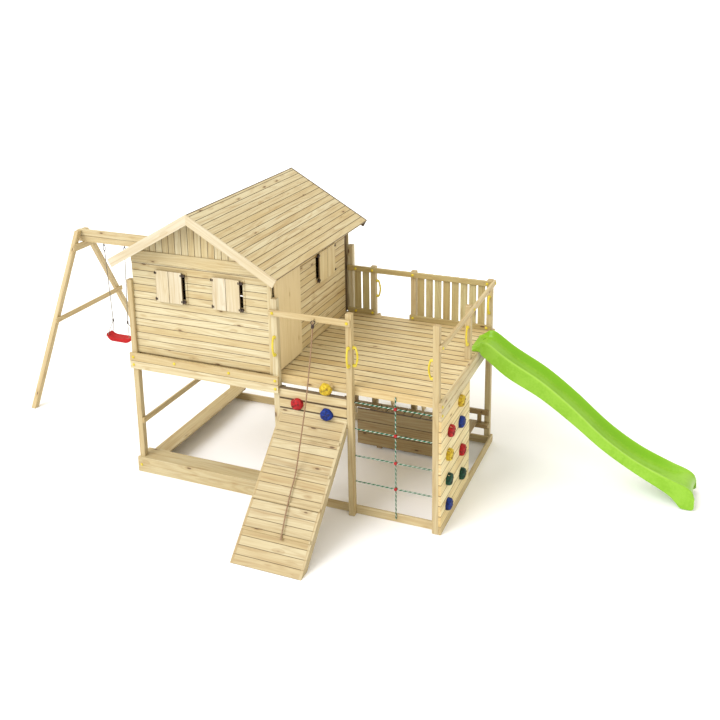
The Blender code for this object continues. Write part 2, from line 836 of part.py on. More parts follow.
def make_door(wood):
    outer = HOUSE_WIDTH - HALF - SIDE_WALL_INSET + DOOR_STAND_OFF + DOOR_THICK
    foot = WALL_BOTTOM + DOOR_FOOT_GAP
    bm = bmesh.new()
    add_box(bm, (-DOOR_THICK, -DOOR_WIDTH, 0), (0, 0, DOOR_HEIGHT), 0.003)
    door = place("door", bm, wood)
    hang(door, "door", (outer, BEHIND_FRONT + DOOR_SET + DOOR_WIDTH, foot), 0)


# Roof


def make_roof(wood):
    front = -EAVE_FRONT
    back = DEPTH + EAVE_BACK
    seams = [ROOF_BOARD_PITCH * (i + 0.5) for i in range(int(ROOF_SLOPE / ROOF_BOARD_PITCH))]
    outline = grooved_outline(ROOF_SLOPE, THIN_BOARD, seams)
    start_y = THIN_BOARD + RAFTER
    for side, label in ((-1, "left"), (1, "right")):

        def on_slope(a, b, c, side=side):
            x = HOUSE_MIDDLE + side * (a * ROOF_RUN + (b - THIN_BOARD) * ROOF_RISE)
            z = RIDGE_Z - a * ROOF_RISE + (b - THIN_BOARD) * ROOF_RUN
            return (x, c, z)

        slope = profile_shape(f"roof_{label}", outline, front, back, on_slope, wood)
        rafters = []
        for y in (start_y, DEPTH / 2 - RAFTER / 2, DEPTH - start_y - RAFTER):
            foot, head = ROOF_SLOPE - RAFTER_FOOT, RAFTER_HEAD
            section = [(head, -RAFTER), (foot, -RAFTER), (foot, BITE), (head, BITE)]
            rafters.append(profile_shape("rafter", section, y, y + RAFTER, on_slope, wood))
        combine(slope, rafters)
        ridge_normal = (-side, 0, 0)
        cut_above(slope, (HOUSE_MIDDLE + side * FIT / 2, 0, 0), ridge_normal)


def make_barges(wood):
    reach = ROOF_SLOPE + 0.004
    lift = 0.003
    drop = BARGE_HEIGHT / ROOF_RUN
    end_x = reach * ROOF_RUN
    end_z = RIDGE_Z + lift - reach * ROOF_RISE
    points = [
        (HOUSE_MIDDLE, RIDGE_Z + lift),
        (HOUSE_MIDDLE + end_x, end_z),
        (HOUSE_MIDDLE + end_x - BARGE_HEIGHT * ROOF_RISE, end_z - BARGE_HEIGHT * ROOF_RUN),
        (HOUSE_MIDDLE, RIDGE_Z + lift - drop),
        (HOUSE_MIDDLE - end_x + BARGE_HEIGHT * ROOF_RISE, end_z - BARGE_HEIGHT * ROOF_RUN),
        (HOUSE_MIDDLE - end_x, end_z),
    ]
    front = -EAVE_FRONT - FIT
    back = DEPTH + EAVE_BACK + FIT
    profile_shape("barge_front", points, front - BARGE_THICK, front, along_y, wood)
    profile_shape("barge_back", points, back, back + BARGE_THICK, along_y, wood)


# Ramp and climbing


def rock(name, at, facing, finish):
    """A climbing stone: a lumpy eight-sided block that narrows towards its face."""
    bm = bmesh.new()
    rings = ((0.80, -BITE), (1.00, 0.014), (0.94, 0.034), (0.62, ROCK_DEPTH))
    lumps = (1.00, 0.86, 1.04, 0.92, 1.02, 0.84, 0.98, 0.90)
    loops = []
    for share, out in rings:
        loop = []
        for i, lump in enumerate(lumps):
            turn = math.tau * (i + 0.5) / len(lumps)
            across = math.cos(turn) * ROCK_WIDTH / 2 * share * lump
            up = math.sin(turn) * ROCK_HEIGHT / 2 * share * lump
            if facing == "FRONT":
                spot = (at[0] + across, at[1] - out, at[2] + up)
            else:
                spot = (at[0] + out, at[1] + across, at[2] + up)
            loop.append(bm.verts.new(spot))
        loops.append(loop)
    count = len(lumps)
    for low, high in zip(loops, loops[1:]):
        for i in range(count):
            j = (i + 1) % count
            bm.faces.new((low[i], low[j], high[j], high[i]))
    bm.faces.new(list(reversed(loops[0])))
    bm.faces.new(loops[-1])
    return place(name, bm, finish)


def make_ramp(wood):
    angle = math.atan2(RAMP_TOP_Z, RAMP_RUN)
    sine, cosine = math.sin(angle), math.cos(angle)
    length = math.hypot(RAMP_TOP_Z, RAMP_RUN)
    top_y = FRONT_FACE - FIT
    toe_y = top_y - RAMP_RUN
    start = RAMP_LEFT_X + HALF + FIT
    end = RAMP_RIGHT_X - HALF - FIT

    def on_ramp(a, b, c):
        return (c, toe_y + a * cosine - b * sine, a * sine + b * cosine)

    seams = even_seams(length, RAMP_BOARD_PITCH)
    outline = [(a, b - RAMP_THICK) for a, b in grooved_outline(length, RAMP_THICK, seams)]
    ramp = profile_shape("ramp", outline, start, end, on_ramp, wood)
    below = -RAMP_THICK - STRINGER_DEPTH
    side = [(0, below), (length, below), (length, -RAMP_THICK + BITE), (0, -RAMP_THICK + BITE)]
    bm = bmesh.new()
    for x in (start + BITE, end - BITE - STRINGER_WIDTH):
        extrude_profile(bm, side, x, x + STRINGER_WIDTH, on_ramp)
    parts = [place("stringers", bm, wood)]
    bm = bmesh.new()
    for a in CLEATS_ALONG:
        section = [
            (a, -BITE * 4),
            (a + CLEAT_WIDTH, -BITE * 4),
            (a + CLEAT_WIDTH, CLEAT_HEIGHT - 0.003),
            (a + CLEAT_WIDTH - 0.003, CLEAT_HEIGHT),
            (a + 0.003, CLEAT_HEIGHT),
            (a, CLEAT_HEIGHT - 0.003),
        ]
        extrude_profile(bm, section, start + 0.010, end - 0.010, on_ramp)
    parts.append(place("cleats", bm, wood))
    combine(ramp, parts)
    cut_above(ramp, (0, 0, 0), (0, 0, -1))
    cut_above(ramp, (0, top_y, 0), (0, 1, 0))


def make_climb_boards(wood, rock_finish):
    start = RAMP_LEFT_X + HALF + FIT
    end = RAMP_RIGHT_X - HALF - FIT
    face = FRONT_FACE
    boards = box_shape(
        "climb_boards",
        [((start, face, low), (end, face + BOARD, high)) for low, high in CLIMB_BOARDS],
        wood,
    )
    battens = box_shape(
        "climb_battens",
        [
            (
                (x, face + BOARD - BITE, CLIMB_BOARDS[-1][0] + BATTEN_TRIM),
                (x + JOIST_WIDTH, HALF, CLIMB_BOARDS[0][1] - BATTEN_TRIM),
            )
            for x in (start, end - JOIST_WIDTH)
        ],
        wood,
    )
    parts = [battens]
    for i, (x, z) in enumerate(RAMP_ROCKS):
        parts.append(rock(f"ramp_rock_{i}", (x, face, z), "FRONT", rock_finish))
    combine(boards, parts)


def make_climbing_wall(wood, rock_finish):
    low = GROUND_BEAM + FIT
    high = DECK_TOP - 2 * FASCIA_HEIGHT - 0.006 - FIT
    seams = even_seams(high - low, CLIMB_WALL_BOARD)

    def lying(a, b, c):
        return (SIDE_PLANE + b, c, low + a)

    outline = grooved_outline(high - low, BOARD, seams)
    wall = profile_shape(
        "climbing_wall", outline, FRONT_FACE, FRONT_FACE + CLIMB_WALL_LENGTH, lying, wood
    )
    batten_bottom = GROUND_BEAM + 0.010
    battens = []
    for y in (BEHIND_FRONT, FRONT_FACE + CLIMB_WALL_LENGTH - JOIST_WIDTH):
        start = (SIDE_PLANE - JOIST_WIDTH, y, batten_bottom)
        battens.append((start, (SIDE_PLANE + BITE, y + JOIST_WIDTH, high - 0.004)))
    parts = [box_shape("wall_battens", battens, wood)]
    for i, (y, z) in enumerate(WALL_ROCKS):
        spot = (SIDE_PLANE + BOARD, y, z)
        parts.append(rock(f"wall_rock_{i}", spot, "SIDE", rock_finish))
    combine(wall, parts)


# Ground frame, sand pit and bench


def make_ground_frame(wood):
    box_shape(
        "ground_beam_front",
        [
            (
                (RAMP_LEFT_X - HALF, BEHIND_FRONT, 0),
                (RIGHT_X + HALF, BEHIND_FRONT + BOARD, GROUND_BEAM),
            )
        ],
        wood,
        CHAMFER,
    )
    box_shape(
        "ground_beam_right",
        [((SIDE_PLANE, FRONT_FACE, 0), (SIDE_PLANE + BOARD, BACK_FACE, GROUND_BEAM))],
        wood,
        CHAMFER,
    )
    box_shape(
        "ground_beam_back",
        [((-HALF, BEFORE_BACK - BOARD, 0), (RIGHT_X + HALF, BEFORE_BACK, GROUND_BEAM))],
        wood,
        CHAMFER,
    )
    box_shape(
        "house_side_rail",
        [
            (
                (HALF + FIT, FRONT_FACE, MID_RAIL_Z),
                (HALF + FIT + BOARD, BACK_FACE, MID_RAIL_Z + RAIL_HEIGHT),
            )
        ],
        wood,
        CHAMFER,
    )


def make_sandpit(wood):
    """The front board with its plank, and the left board with its plank."""
    face = FRONT_FACE - FIT
    end = RAMP_LEFT_X + HALF
    seat_top = PIT_HEIGHT + SEAT_THICK
    front = double_board(
        "sandpit",
        0.0,
        (PIT_HEIGHT + BITE) / 2,
        face - BOARD,
        face,
        (-HALF - BOARD / 2, end, along_x),
        wood,
    )
    seat = box_shape(
        "front_seat",
        [((-HALF - BOARD / 2, face - BOARD, PIT_HEIGHT), (end, face - BOARD + SEAT_WIDTH, seat_top))],
        wood,
        0.003,
    )
    inner = HALF + FIT
    side_seat = box_shape(
        "side_seat",
        [
            (
                (inner, face - BOARD + SEAT_WIDTH - BITE, PIT_HEIGHT),
                (inner + SIDE_SEAT_WIDTH, BEFORE_BACK - BOARD - FIT, seat_top),
            )
        ],
        wood,
    )
    side_face = box_shape(
        "side_face",
        [((inner, face + POST + FIT * 2, 0), (inner + BOARD, BEFORE_BACK - BOARD - FIT, PIT_HEIGHT + BITE))],
        wood,
    )
    combine(front, [seat, side_seat, side_face])
    notch = HALF + FIT
    cutters = [
        box_shape("notch", [((x - notch, face, -POST), (x + notch, HALF + FIT, seat_top + POST))], None)
        for x in (0, RAMP_LEFT_X)
    ]
    ends = box_shape(
        "notch_ends",
        [
            ((-POST, face, -POST), (0, HALF + FIT, seat_top + POST)),
            ((RAMP_LEFT_X, face, -POST), (RAMP_LEFT_X + POST, HALF + FIT, seat_top + POST)),
        ],
        None,
    )
    combine(front, [*cutters, ends], "DIFFERENCE")


def make_bench(wood):
    """A front of lying boards on two feet, and a seat of slats behind it on a bearer."""
    end = RIGHT_X - HALF - 0.030
    board = (BENCH_FRONT_TOP - BENCH_FRONT_LIFT) / 3
    low = BENCH_FRONT_LIFT
    seams = [board, 2 * board]

    def lying(a, b, c):
        return (c, BENCH_FRONT_Y + BOARD - b, low + a)

    outline = grooved_outline(BENCH_FRONT_TOP - low, BOARD, seams)
    front = profile_shape("bench_front", outline, BENCH_LEFT, end, lying, wood)
    back = BENCH_FRONT_Y + BOARD
    feet = []
    for x in (BENCH_LEFT + 0.240, end - 0.240 - POST):
        feet.append(((x, back - BITE, 0), (x + POST, back + BOARD, BENCH_FRONT_TOP - 0.010)))
    ledge = (
        (BENCH_LEFT, back - BITE, BENCH_SEAT_Z - SEAT_THICK - JOIST_WIDTH),
        (end, back + BOARD, BENCH_SEAT_Z - SEAT_THICK - FIT),
    )
    combine(front, [box_shape("bench_feet", feet, wood), box_shape("bench_ledge", [ledge], wood)])
    slat_front = back + BOARD + FIT
    slat_back = BEFORE_BACK - BOARD - 0.002
    slats = []
    x = BENCH_LEFT
    while x + BENCH_SLAT <= end:
        low = (x, slat_front, BENCH_SEAT_Z - SEAT_THICK)
        slats.append((low, (x + BENCH_SLAT, slat_back, BENCH_SEAT_Z)))
        x += BENCH_SLAT_PITCH
    seat = box_shape("bench_seat", slats, wood)
    under = BENCH_SEAT_Z - SEAT_THICK
    bearer_start = RAMP_LEFT_X + HALF + FIT
    bearer_end = RIGHT_X + HALF
    rails = box_shape(
        "bench_rails",
        [
            (
                (bearer_start, slat_back - BENCH_BEARING, under - JOIST_WIDTH),
                (bearer_end, BEFORE_BACK, under + BITE),
            ),
            (
                (bearer_start, BEFORE_BACK - BOARD, BENCH_RAIL_Z),
                (bearer_end, BEFORE_BACK, BENCH_RAIL_Z + RAIL_HEIGHT),
            ),
        ],
        wood,
    )
    uprights = box_shape(
        "bench_uprights",
        [
            (
                (x, BEFORE_BACK - BOARD * 1.5, under - JOIST_WIDTH + 0.004),
                (x + JOIST_WIDTH, BEFORE_BACK - 0.004, BENCH_RAIL_Z + RAIL_HEIGHT - 0.004),
            )
            for x in (bearer_start + 0.010, bearer_end - JOIST_WIDTH - 0.100)
        ],
        wood,
    )
    combine(seat, [rails, uprights])


def make_ladder(wood):
    """Two leaning sides with treads, between the posts of the back opening."""
    run, rise = LADDER_RUN, DECK_TOP - 0.010
    head_y = DEPTH - HALF + 0.004
    start = LADDER_LEFT_X + HALF + FIT
    end = LADDER_RIGHT_X - HALF - FIT
    depth = LADDER_SIDE
    side = [(head_y, rise), (head_y + depth, rise), (head_y + depth + run, 0), (head_y + run, 0)]
    ladder = profile_shape("ladder", side, start, start + BOARD, along_x, wood)
    parts = [profile_shape("far_side", side, end - BOARD, end, along_x, wood)]
    tread_start = start + BOARD - BITE
    tread_end = end - BOARD + BITE
    treads = []
    for i in range(1, LADDER_TREADS + 1):
        z = rise * i / (LADDER_TREADS + 1)
        y = head_y + run * (1 - i / (LADDER_TREADS + 1))
        low = (tread_start, y + TREAD_INSET, z)
        high = (tread_end, y + depth - TREAD_INSET, z + BOARD)
        treads.append((low, high))
    parts.append(box_shape("treads", treads, wood))
    combine(ladder, parts)


# Slide


def make_slide(plastic):
    """A moulded trough lofted along a wavy run: rounded rims, sloping sides and outer skirts."""
    start = SIDE_PLANE - BOARD
    knots = [
        (start + x, skirt, z) for (x, z), skirt in zip(RIM_KNOTS, SKIRT_DEPTHS)
    ]
    floors = [(0, floor, 0) for floor in FLOOR_DEPTHS]
    rim_route = smooth_route(knots, 3)
    floor_route = smooth_route(floors, 3)
    half = SLIDE_WIDTH / 2
    bm = bmesh.new()
    loops = []
    for spot, deep in zip(rim_route, floor_route):
        x, skirt, z = spot
        floor = deep[1]
        wall = SLIDE_WALL
        flare = SLIDE_FLARE * min(1.0, skirt / 0.15)
        rim_in = half - SLIDE_RIM - flare
        floor_half = rim_in - floor * 0.28
        outer = [
            (-half, -skirt),
            (-half + flare, -0.010),
            (-half + flare + 0.006, 0.0),
            (-rim_in - 0.008, 0.0),
            (-rim_in, -0.008),
            (-floor_half, -floor + 0.012),
            (-floor_half + 0.016, -floor),
        ]
        lower = min(floor + wall, skirt)
        inner = [
            (-floor_half + 0.016, -lower),
            (-floor_half - 0.004, -min(floor - 0.008, skirt)),
            (-rim_in - wall - 0.002, -min(0.012, skirt * 0.6)),
            (-rim_in - 0.010, -min(0.007, skirt * 0.4)),
            (-half + flare + 0.009, -min(0.007, skirt * 0.4)),
            (-half + flare + wall, -min(0.014, skirt * 0.6)),
            (-half + wall, -skirt),
        ]
        section = outer + [(-a, b) for a, b in reversed(outer)]
        mirrored = [(-a, b) for a, b in reversed(inner)]
        section += mirrored + inner
        loops.append([bm.verts.new((x, DEPTH - SLIDE_FROM_BACK + a, z + b)) for a, b in section])
    count = len(loops[0])
    for low, high in zip(loops, loops[1:]):
        for i in range(count):
            j = (i + 1) % count
            bm.faces.new((low[i], low[j], high[j], high[i]))
    for loop in (loops[0], loops[-1]):
        cap_channel(bm, loop)
    place("slide", bm, plastic, smooth=True)


def cap_channel(bm, loop):
    """Closes a channel's end with a strip of faces between its outer and inner lines."""
    half = len(loop) // 2
    outer = loop[:half]
    inner = list(reversed(loop[half:]))
    for i in range(half - 1):
        bm.faces.new((outer[i], outer[i + 1], inner[i + 1], inner[i]))


# Swing


def make_swing_frame(wood, steel):
    left = -HALF - FIT - SWING_BEAM_LENGTH
    y_low, y_high = DEPTH - HALF, DEPTH + HALF
    half_height = SWING_BEAM_HEIGHT / 2
    beam = double_board(
        "swing_beam", SWING_BEAM_BOTTOM, half_height, y_low, y_high, (left, -HALF - FIT, along_x), wood
    )
    hooks = []
    for side in (-1, 1):
        x = SWING_X + side * SWING_TOP_HALF
        top = (x, DEPTH, SWING_BEAM_BOTTOM + 0.010)
        low = (x, DEPTH, SWING_BEAM_BOTTOM - SWING_PIVOT_DROP + SWIVEL_RADIUS + FIT)
        hooks.append(tube_mesh("hook", [top, low], ROPE_RADIUS, steel))
    combine(beam, hooks)
    leg_x = left + SWING_LEG_INSET
    top = SWING_BEAM_BOTTOM + SWING_BEAM_HEIGHT
    for side, label in ((-1, "front"), (1, "back")):
        inner_top = DEPTH + side * (HALF + FIT)
        foot = DEPTH + side * SWING_SPREAD
        lean = math.atan2(abs(foot - inner_top) - POST, top)
        wide = POST / math.cos(lean)
        points = [
            (foot, 0),
            (foot - side * wide, 0),
            (inner_top, top),
            (inner_top + side * wide, top),
        ]
        leg = profile_shape(f"swing_leg_{label}", points, leg_x, leg_x + POST, along_x, wood)
        chamfer_edges(leg)
    plate_x = leg_x + POST + FIT
    plate_top = SWING_BEAM_BOTTOM - FIT
    plate_low = plate_top - SWING_TIE_HEIGHT
    reach = leg_offset(plate_low)
    box_shape(
        "swing_tie",
        [((plate_x, DEPTH - reach, plate_low), (plate_x + BOARD, DEPTH + reach, plate_top))],
        wood,
        CHAMFER,
    )
    reach = leg_offset(SWING_BRACE_Z)
    box_shape(
        "swing_brace",
        [
            (
                (plate_x, DEPTH - reach, SWING_BRACE_Z),
                (plate_x + BOARD, DEPTH + reach, SWING_BRACE_Z + POST),
            )
        ],
        wood,
        CHAMFER,
    )


def chamfer_edges(item):
    modifier = item.modifiers.new("worn_edges", "BEVEL")
    modifier.width = CHAMFER
    modifier.segments = 1
    modifier.limit_method = "ANGLE"


def leg_offset(z):
    """How far a leg's outer edge is from the beam's middle at a height."""
    top = SWING_BEAM_BOTTOM + SWING_BEAM_HEIGHT
    lean = math.atan2(SWING_SPREAD - HALF - FIT - POST, top)
    at_top = HALF + FIT + POST / math.cos(lean)
    return SWING_SPREAD + (at_top - SWING_SPREAD) * z / top


def make_swing(plastic, rope):
    pivot_z = SWING_BEAM_BOTTOM - SWING_PIVOT_DROP
    pivot = bpy.data.objects.new("swing_pivot", None)
    pivot.location = (SWING_X, DEPTH, pivot_z)
    bpy.context.scene.collection.objects.link(pivot)
    seat = swing_seat(plastic)
    seat.parent = pivot
    seat.location = (0, 0, SWING_SEAT_Z - pivot_z)
    hole = 0.150
    split = SWING_SEAT_Z + 0.185 - pivot_z
    foot = hole + 0.030
    end = SWING_SEAT_Z - pivot_z + seat_top(foot + ROPE_RADIUS) + FIT
    for side, label in ((-1, "left"), (1, "right")):
        head = Vector((side * SWING_TOP_HALF, 0, 0))
        knot = Vector((side * SWING_FOOT_HALF, 0, split))
        main = tube_mesh(f"swing_rope_{label}", [head, knot], ROPE_RADIUS, rope)
        spread = SEAT_DEPTH / 2 - 0.020
        route = [
            (side * foot, -spread, end),
            (side * foot, -spread, end + 0.020),
            (knot.x, 0, split - 0.006),
            (side * foot, spread, end + 0.020),
            (side * foot, spread, end),
        ]
        tails = tube_mesh("tails", route, ROPE_RADIUS * 0.8, rope)
        ring_low = (knot.x, 0, split - 0.016)
        ring_high = (knot.x, 0, split + 0.022)
        ring = tube_mesh("ring", [ring_low, ring_high], ROPE_RADIUS * 1.8, rope)
        combine(main, [tails, ring, ball("swivel", head, SWIVEL_RADIUS, rope)])
        main.parent = pivot


def ball(name, centre, radius, finish):
    bm = bmesh.new()
    bmesh.ops.create_uvsphere(bm, u_segments=12, v_segments=8, radius=radius)
    bmesh.ops.translate(bm, vec=centre, verts=bm.verts)
    return place(name, bm, finish, smooth=True)


def seat_top(x):
    """The height of the seat's top face at a distance from its middle."""
    curl = max(0.0, abs(x) - SEAT_FLAT) / (SEAT_LENGTH / 2 - SEAT_FLAT)
    return SEAT_RISE * 1.6 * curl * curl + SEAT_SHELL


def swing_seat(plastic):
    """A moulded seat: a strip with a rounded edge whose two ends curl up."""
    half = SEAT_LENGTH / 2
    flat = SEAT_FLAT
    thick = SEAT_SHELL
    curve = []
    steps = 8
    for i in range(steps + 1):
        x = -half + (half - flat) * i / steps
        curve.append((x, seat_top(x) - thick))
    line = curve + [(-x, z) for x, z in reversed(curve)]
    bm = bmesh.new()
    loops = []
    for x, z in line:
        narrow = SEAT_DEPTH / 2 * (1.0 - 0.25 * max(0.0, (abs(x) - flat) / (half - flat)) ** 2)
        ring = [
            (x, -narrow, z + thick * 0.5),
            (x, -narrow + 0.008, z),
            (x, narrow - 0.008, z),
            (x, narrow, z + thick * 0.5),
            (x, narrow - 0.008, z + thick),
            (x, -narrow + 0.008, z + thick),
        ]
        loops.append([bm.verts.new(spot) for spot in ring])
    count = len(loops[0])
    for low, high in zip(loops, loops[1:]):
        for i in range(count):
            j = (i + 1) % count
            bm.faces.new((low[i], low[j], high[j], high[i]))
    bm.faces.new(list(reversed(loops[0])))
    bm.faces.new(loops[-1])
    return place("swing_seat", bm, plastic, smooth=True)


# Net and climbing rope


def make_net(rope):
    """Four lying ropes and one standing rope, held together by round clamps."""
    y = BEHIND_FRONT - NET_ROPE_RADIUS - FIT * 2
    start = RAMP_RIGHT_X + HALF + FIT
    end = RIGHT_X - HALF - FIT
    foot = GROUND_BEAM * 0.45
    head = DECK_TOP - BEARER_HEIGHT * 0.45
    net = tube_mesh("climbing_net", [(NET_X, y, foot), (NET_X, y, head)], NET_ROPE_RADIUS, rope)
    parts = []
    clamp_radius = 0.018
    for z in NET_HEIGHTS:
        before = y - NET_ROPE_RADIUS / 2
        lying = [(start, before, z), (end, before, z)]
        parts.append(tube_mesh("lying", lying, NET_ROPE_RADIUS, rope))
        ends = [(NET_X, y - clamp_radius, z), (NET_X, y + NET_ROPE_RADIUS - FIT, z)]
        parts.append(tube_mesh("clamp", ends, clamp_radius, rope))
    combine(net, parts)


def make_climbing_rope(rope):
    """A free rope that hangs from the eye in the top bar and lies down the ramp."""
    tube("climbing_rope", smooth_route(CLIMB_ROPE_KNOTS, 7), CLIMB_ROPE_RADIUS, rope, 2)


# Handles


def make_handles(plastic):
    feet = {
        "house_front": (RAMP_LEFT_X, 0),
        "ramp_right": (RAMP_RIGHT_X, 0),
        "front_right": (RIGHT_X, 0),
        "side_middle": (RIGHT_X, SIDE_POST_Y),
        "back_right": (RIGHT_X, DEPTH),
        "ladder_left": (LADDER_LEFT_X, DEPTH),
    }
    for name, where, facing, z in HANDLES:
        out = Vector((*FACINGS[facing], 0))
        base = Vector((*feet[where], z)) + out * (HALF + FIT)
        handle_shape(name, base, out, plastic)


def handle_shape(name, base, out, plastic):
    """A moulded grip: a bowed bar on two round feet."""
    up = Vector((0, 0, 1))
    inset = 0.022
    bow = []
    steps = 8
    for i in range(steps + 1):
        t = i / steps
        rise = math.sin(math.pi * (0.12 + 0.76 * t)) ** 0.7
        along = inset * 0.6 + (HANDLE_LENGTH - inset * 1.2) * t
        bow.append(base + up * along + out * (HANDLE_STAND_OFF * rise))
    grip = tube_mesh(name, bow, HANDLE_RADIUS, plastic)
    feet = []
    for along in (inset, HANDLE_LENGTH - inset):
        spot = base + up * along
        feet.append(tube_mesh("foot", [spot, spot + out * HANDLE_STAND_OFF * 0.62], 0.019, plastic))
    combine(grip, feet)


def main():
    clear_scene()
    pine = material("pine", (0.80, 0.66, 0.40), 0.62)
    pale = material("pale_pine", (0.86, 0.75, 0.50), 0.60)
    panel = material("door_panel", (0.79, 0.66, 0.42), 0.55)
    green = material("slide_plastic", (0.30, 0.62, 0.03), 0.30)
    yellow = material("handle_plastic", (0.90, 0.66, 0.05), 0.35)
    red = material("seat_plastic", (0.70, 0.02, 0.02), 0.35)
    rope = material("rope", (0.55, 0.45, 0.32), 0.85)
    net_rope = material("net_rope", (0.05, 0.30, 0.15), 0.80)
    steel = material("steel", (0.45, 0.44, 0.42), 0.35, 1.0)
    make_posts(pine)
    make_fascias(pine)
    make_rails(pine, steel)
    make_back_railing(pine)
    make_deck(pine, yellow)
    make_walls(pine)
    make_leaves(pale)
    make_door(panel)
    make_roof(pine)
    make_barges(pale)
    make_ramp(pine)
    make_climb_boards(pine, red)
    make_climbing_wall(pine, red)
    make_ground_frame(pine)
    make_sandpit(pine)
    make_bench(pine)
    make_ladder(pine)
    make_slide(green)
    make_swing_frame(pine, steel)
    make_swing(red, rope)
    make_net(net_rope)
    make_climbing_rope(rope)
    make_handles(yellow)


main()
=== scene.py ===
"""The looks of a wooden playhouse on posts: timber, moulded plastic, laid rope and steel fittings."""

import math
from collections import namedtuple

import bpy
from mathutils import Matrix, Vector


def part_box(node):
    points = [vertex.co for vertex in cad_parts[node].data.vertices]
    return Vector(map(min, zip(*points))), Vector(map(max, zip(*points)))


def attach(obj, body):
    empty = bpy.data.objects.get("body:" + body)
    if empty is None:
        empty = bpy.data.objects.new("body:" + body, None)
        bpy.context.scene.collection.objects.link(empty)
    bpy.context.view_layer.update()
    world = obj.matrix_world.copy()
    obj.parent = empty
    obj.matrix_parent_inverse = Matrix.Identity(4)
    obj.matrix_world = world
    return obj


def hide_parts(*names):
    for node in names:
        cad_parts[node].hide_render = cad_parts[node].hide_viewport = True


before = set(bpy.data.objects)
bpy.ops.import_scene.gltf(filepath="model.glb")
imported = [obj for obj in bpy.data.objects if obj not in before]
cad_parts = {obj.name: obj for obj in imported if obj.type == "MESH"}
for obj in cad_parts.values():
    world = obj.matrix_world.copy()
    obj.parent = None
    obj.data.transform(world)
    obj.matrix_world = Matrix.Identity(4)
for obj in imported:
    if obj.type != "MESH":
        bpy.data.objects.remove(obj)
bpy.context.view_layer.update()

# Directions
RIGHT = Vector((1, 0, 0))
BACK = Vector((0, 1, 0))
UP = Vector((0, 0, 1))

# Posts and bays
POST = 0.068
HALF = POST / 2
HOUSE_WIDTH = 1.820
HOUSE_MIDDLE = HOUSE_WIDTH / 2
RAMP_RIGHT_X = 2.677
RIGHT_X = 3.624
LADDER_LEFT_X = 2.125
DEPTH = 2.050
SIDE_POST_Y = 1.131
FRONT_FACE = -HALF

# Boards: how far apart they lie, where the first starts and how wide the dark seam between them looks
SIDING_PITCH = 0.083
SIDING_SEAM = 0.0045
SIDING_BOTTOM = 1.505
GIRT_BOTTOM = 2.600
GIRT_TOP = 2.737
CORNER_BATTEN_X = 1.741
SIDE_BATTEN_Y = 1.936
ROOF_PITCH = math.radians(30.1)
# Half the width of the painted shadow line along the ridge
RIDGE_SHADOW_LINE = 0.012
DECK_PITCH = 0.1225
DECK_START = 0.0623
DECK_SEAM = 0.0105
DECK_RIM_TOP = 1.4775
BALUSTER_PITCH = 0.1095
BALUSTER_START = 2.704
SHORT_BALUSTER_START = 1.863
SHORT_RAILING_END = 2.2
TOP_RAIL_LOW = 2.059
FOOT_RAIL_HIGH = 1.567
RAMP_PITCH = math.atan2(1.095, 1.170)
RAMP_PLANK = 0.0935
LEFT_STRINGER = 0.028
RIGHT_STRINGER = 0.0285
CLIMB_WALL_PITCH = 0.121
CLIMB_WALL_START = 0.0953
FRONT_SEAT_BACK_Y = 0.175

# Light
BRIGHTNESS = 1.22
SUN_STRENGTH = 1.9

# Where the three strands of a rope start around its middle
THIRDS = [math.tau * i / 3 for i in range(3)]

# Climbing rope, from the eye in the top bar to its end on the ramp
CLIMB_ROPE_RADIUS = 0.008
CLIMB_ROPE_KNOTS = (
    (2.305, -0.0900, 2.2148),
    (2.302, -0.1150, 2.0500),
    (2.294, -0.1700, 1.7600),
    (2.284, -0.2450, 1.4400),
    (2.274, -0.3300, 1.1600),
    (2.268, -0.4200, 0.9150),
    (2.266, -0.5150, 0.6950),
    (2.270, -0.6200, 0.5850),
    (2.282, -0.7400, 0.4730),
    (2.300, -0.8600, 0.3600),
    (2.324, -0.9940, 0.2350),
)

# Net
NET_ROPE_RADIUS = 0.008
NET_ROPE_LAY = 0.052
NET_Y = 0.0257
NET_X = 3.169
NET_HEIGHTS = (0.400, 0.705, 1.020, 1.325)
NET_LEFT = 2.711
NET_RIGHT = 3.590
NET_FOOT = 0.043
NET_HEAD = 1.457

# Slide: its rim line, and how far the skirt and the floor lie under the rim
SLIDE_START = 3.6303
SLIDE_Y = 1.562
SLIDE_HALF = 0.225
SLIDE_RIM = 0.030
SLIDE_FLARE = 0.022
SLIDE_WALL = 0.006
SLIDE_HOLLOW_END = 0.035
SLIDE_HOLLOW_LENGTH = 0.16
# Where the painted shade and highlights on the trough fade out, towards its head and its foot
SLIDE_HEAD_FADE = (3.70, 3.80)
SLIDE_FOOT_FADE = (5.66, 5.96)
SLIDE_KNOTS = (
    ((-0.050, 1.5120), 0.008, 0.004),
    ((0.000, 1.542), 0.038, 0.026),
    ((0.064, 1.592), 0.088, 0.064),
    ((0.090, 1.606), 0.140, 0.076),
    ((0.165, 1.594), 0.182, 0.084),
    ((0.403, 1.436), 0.200, 0.100),
    ((0.772, 1.239), 0.185, 0.108),
    ((1.135, 0.977), 0.165, 0.110),
    ((1.492, 0.681), 0.135, 0.110),
    ((1.842, 0.465), 0.125, 0.104),
    ((2.184, 0.328), 0.160, 0.080),
    ((2.290, 0.293), 0.214, 0.052),
    ((2.345, 0.276), 0.256, 0.034),
    ((2.410, 0.250), 0.236, 0.018),
    ((2.465, 0.208), 0.192, 0.012),
    ((2.490, 0.140), 0.100, 0.010),
)
HAND_HOLD_Z = 1.525
HAND_HOLD_RADIUS = 0.0055
HAND_HOLD = (
    (0.026, 0.085, -0.001),
    (0.036, 0.110, 0.001),
    (0.050, 0.132, 0.003),
    (0.066, 0.148, 0.006),
)

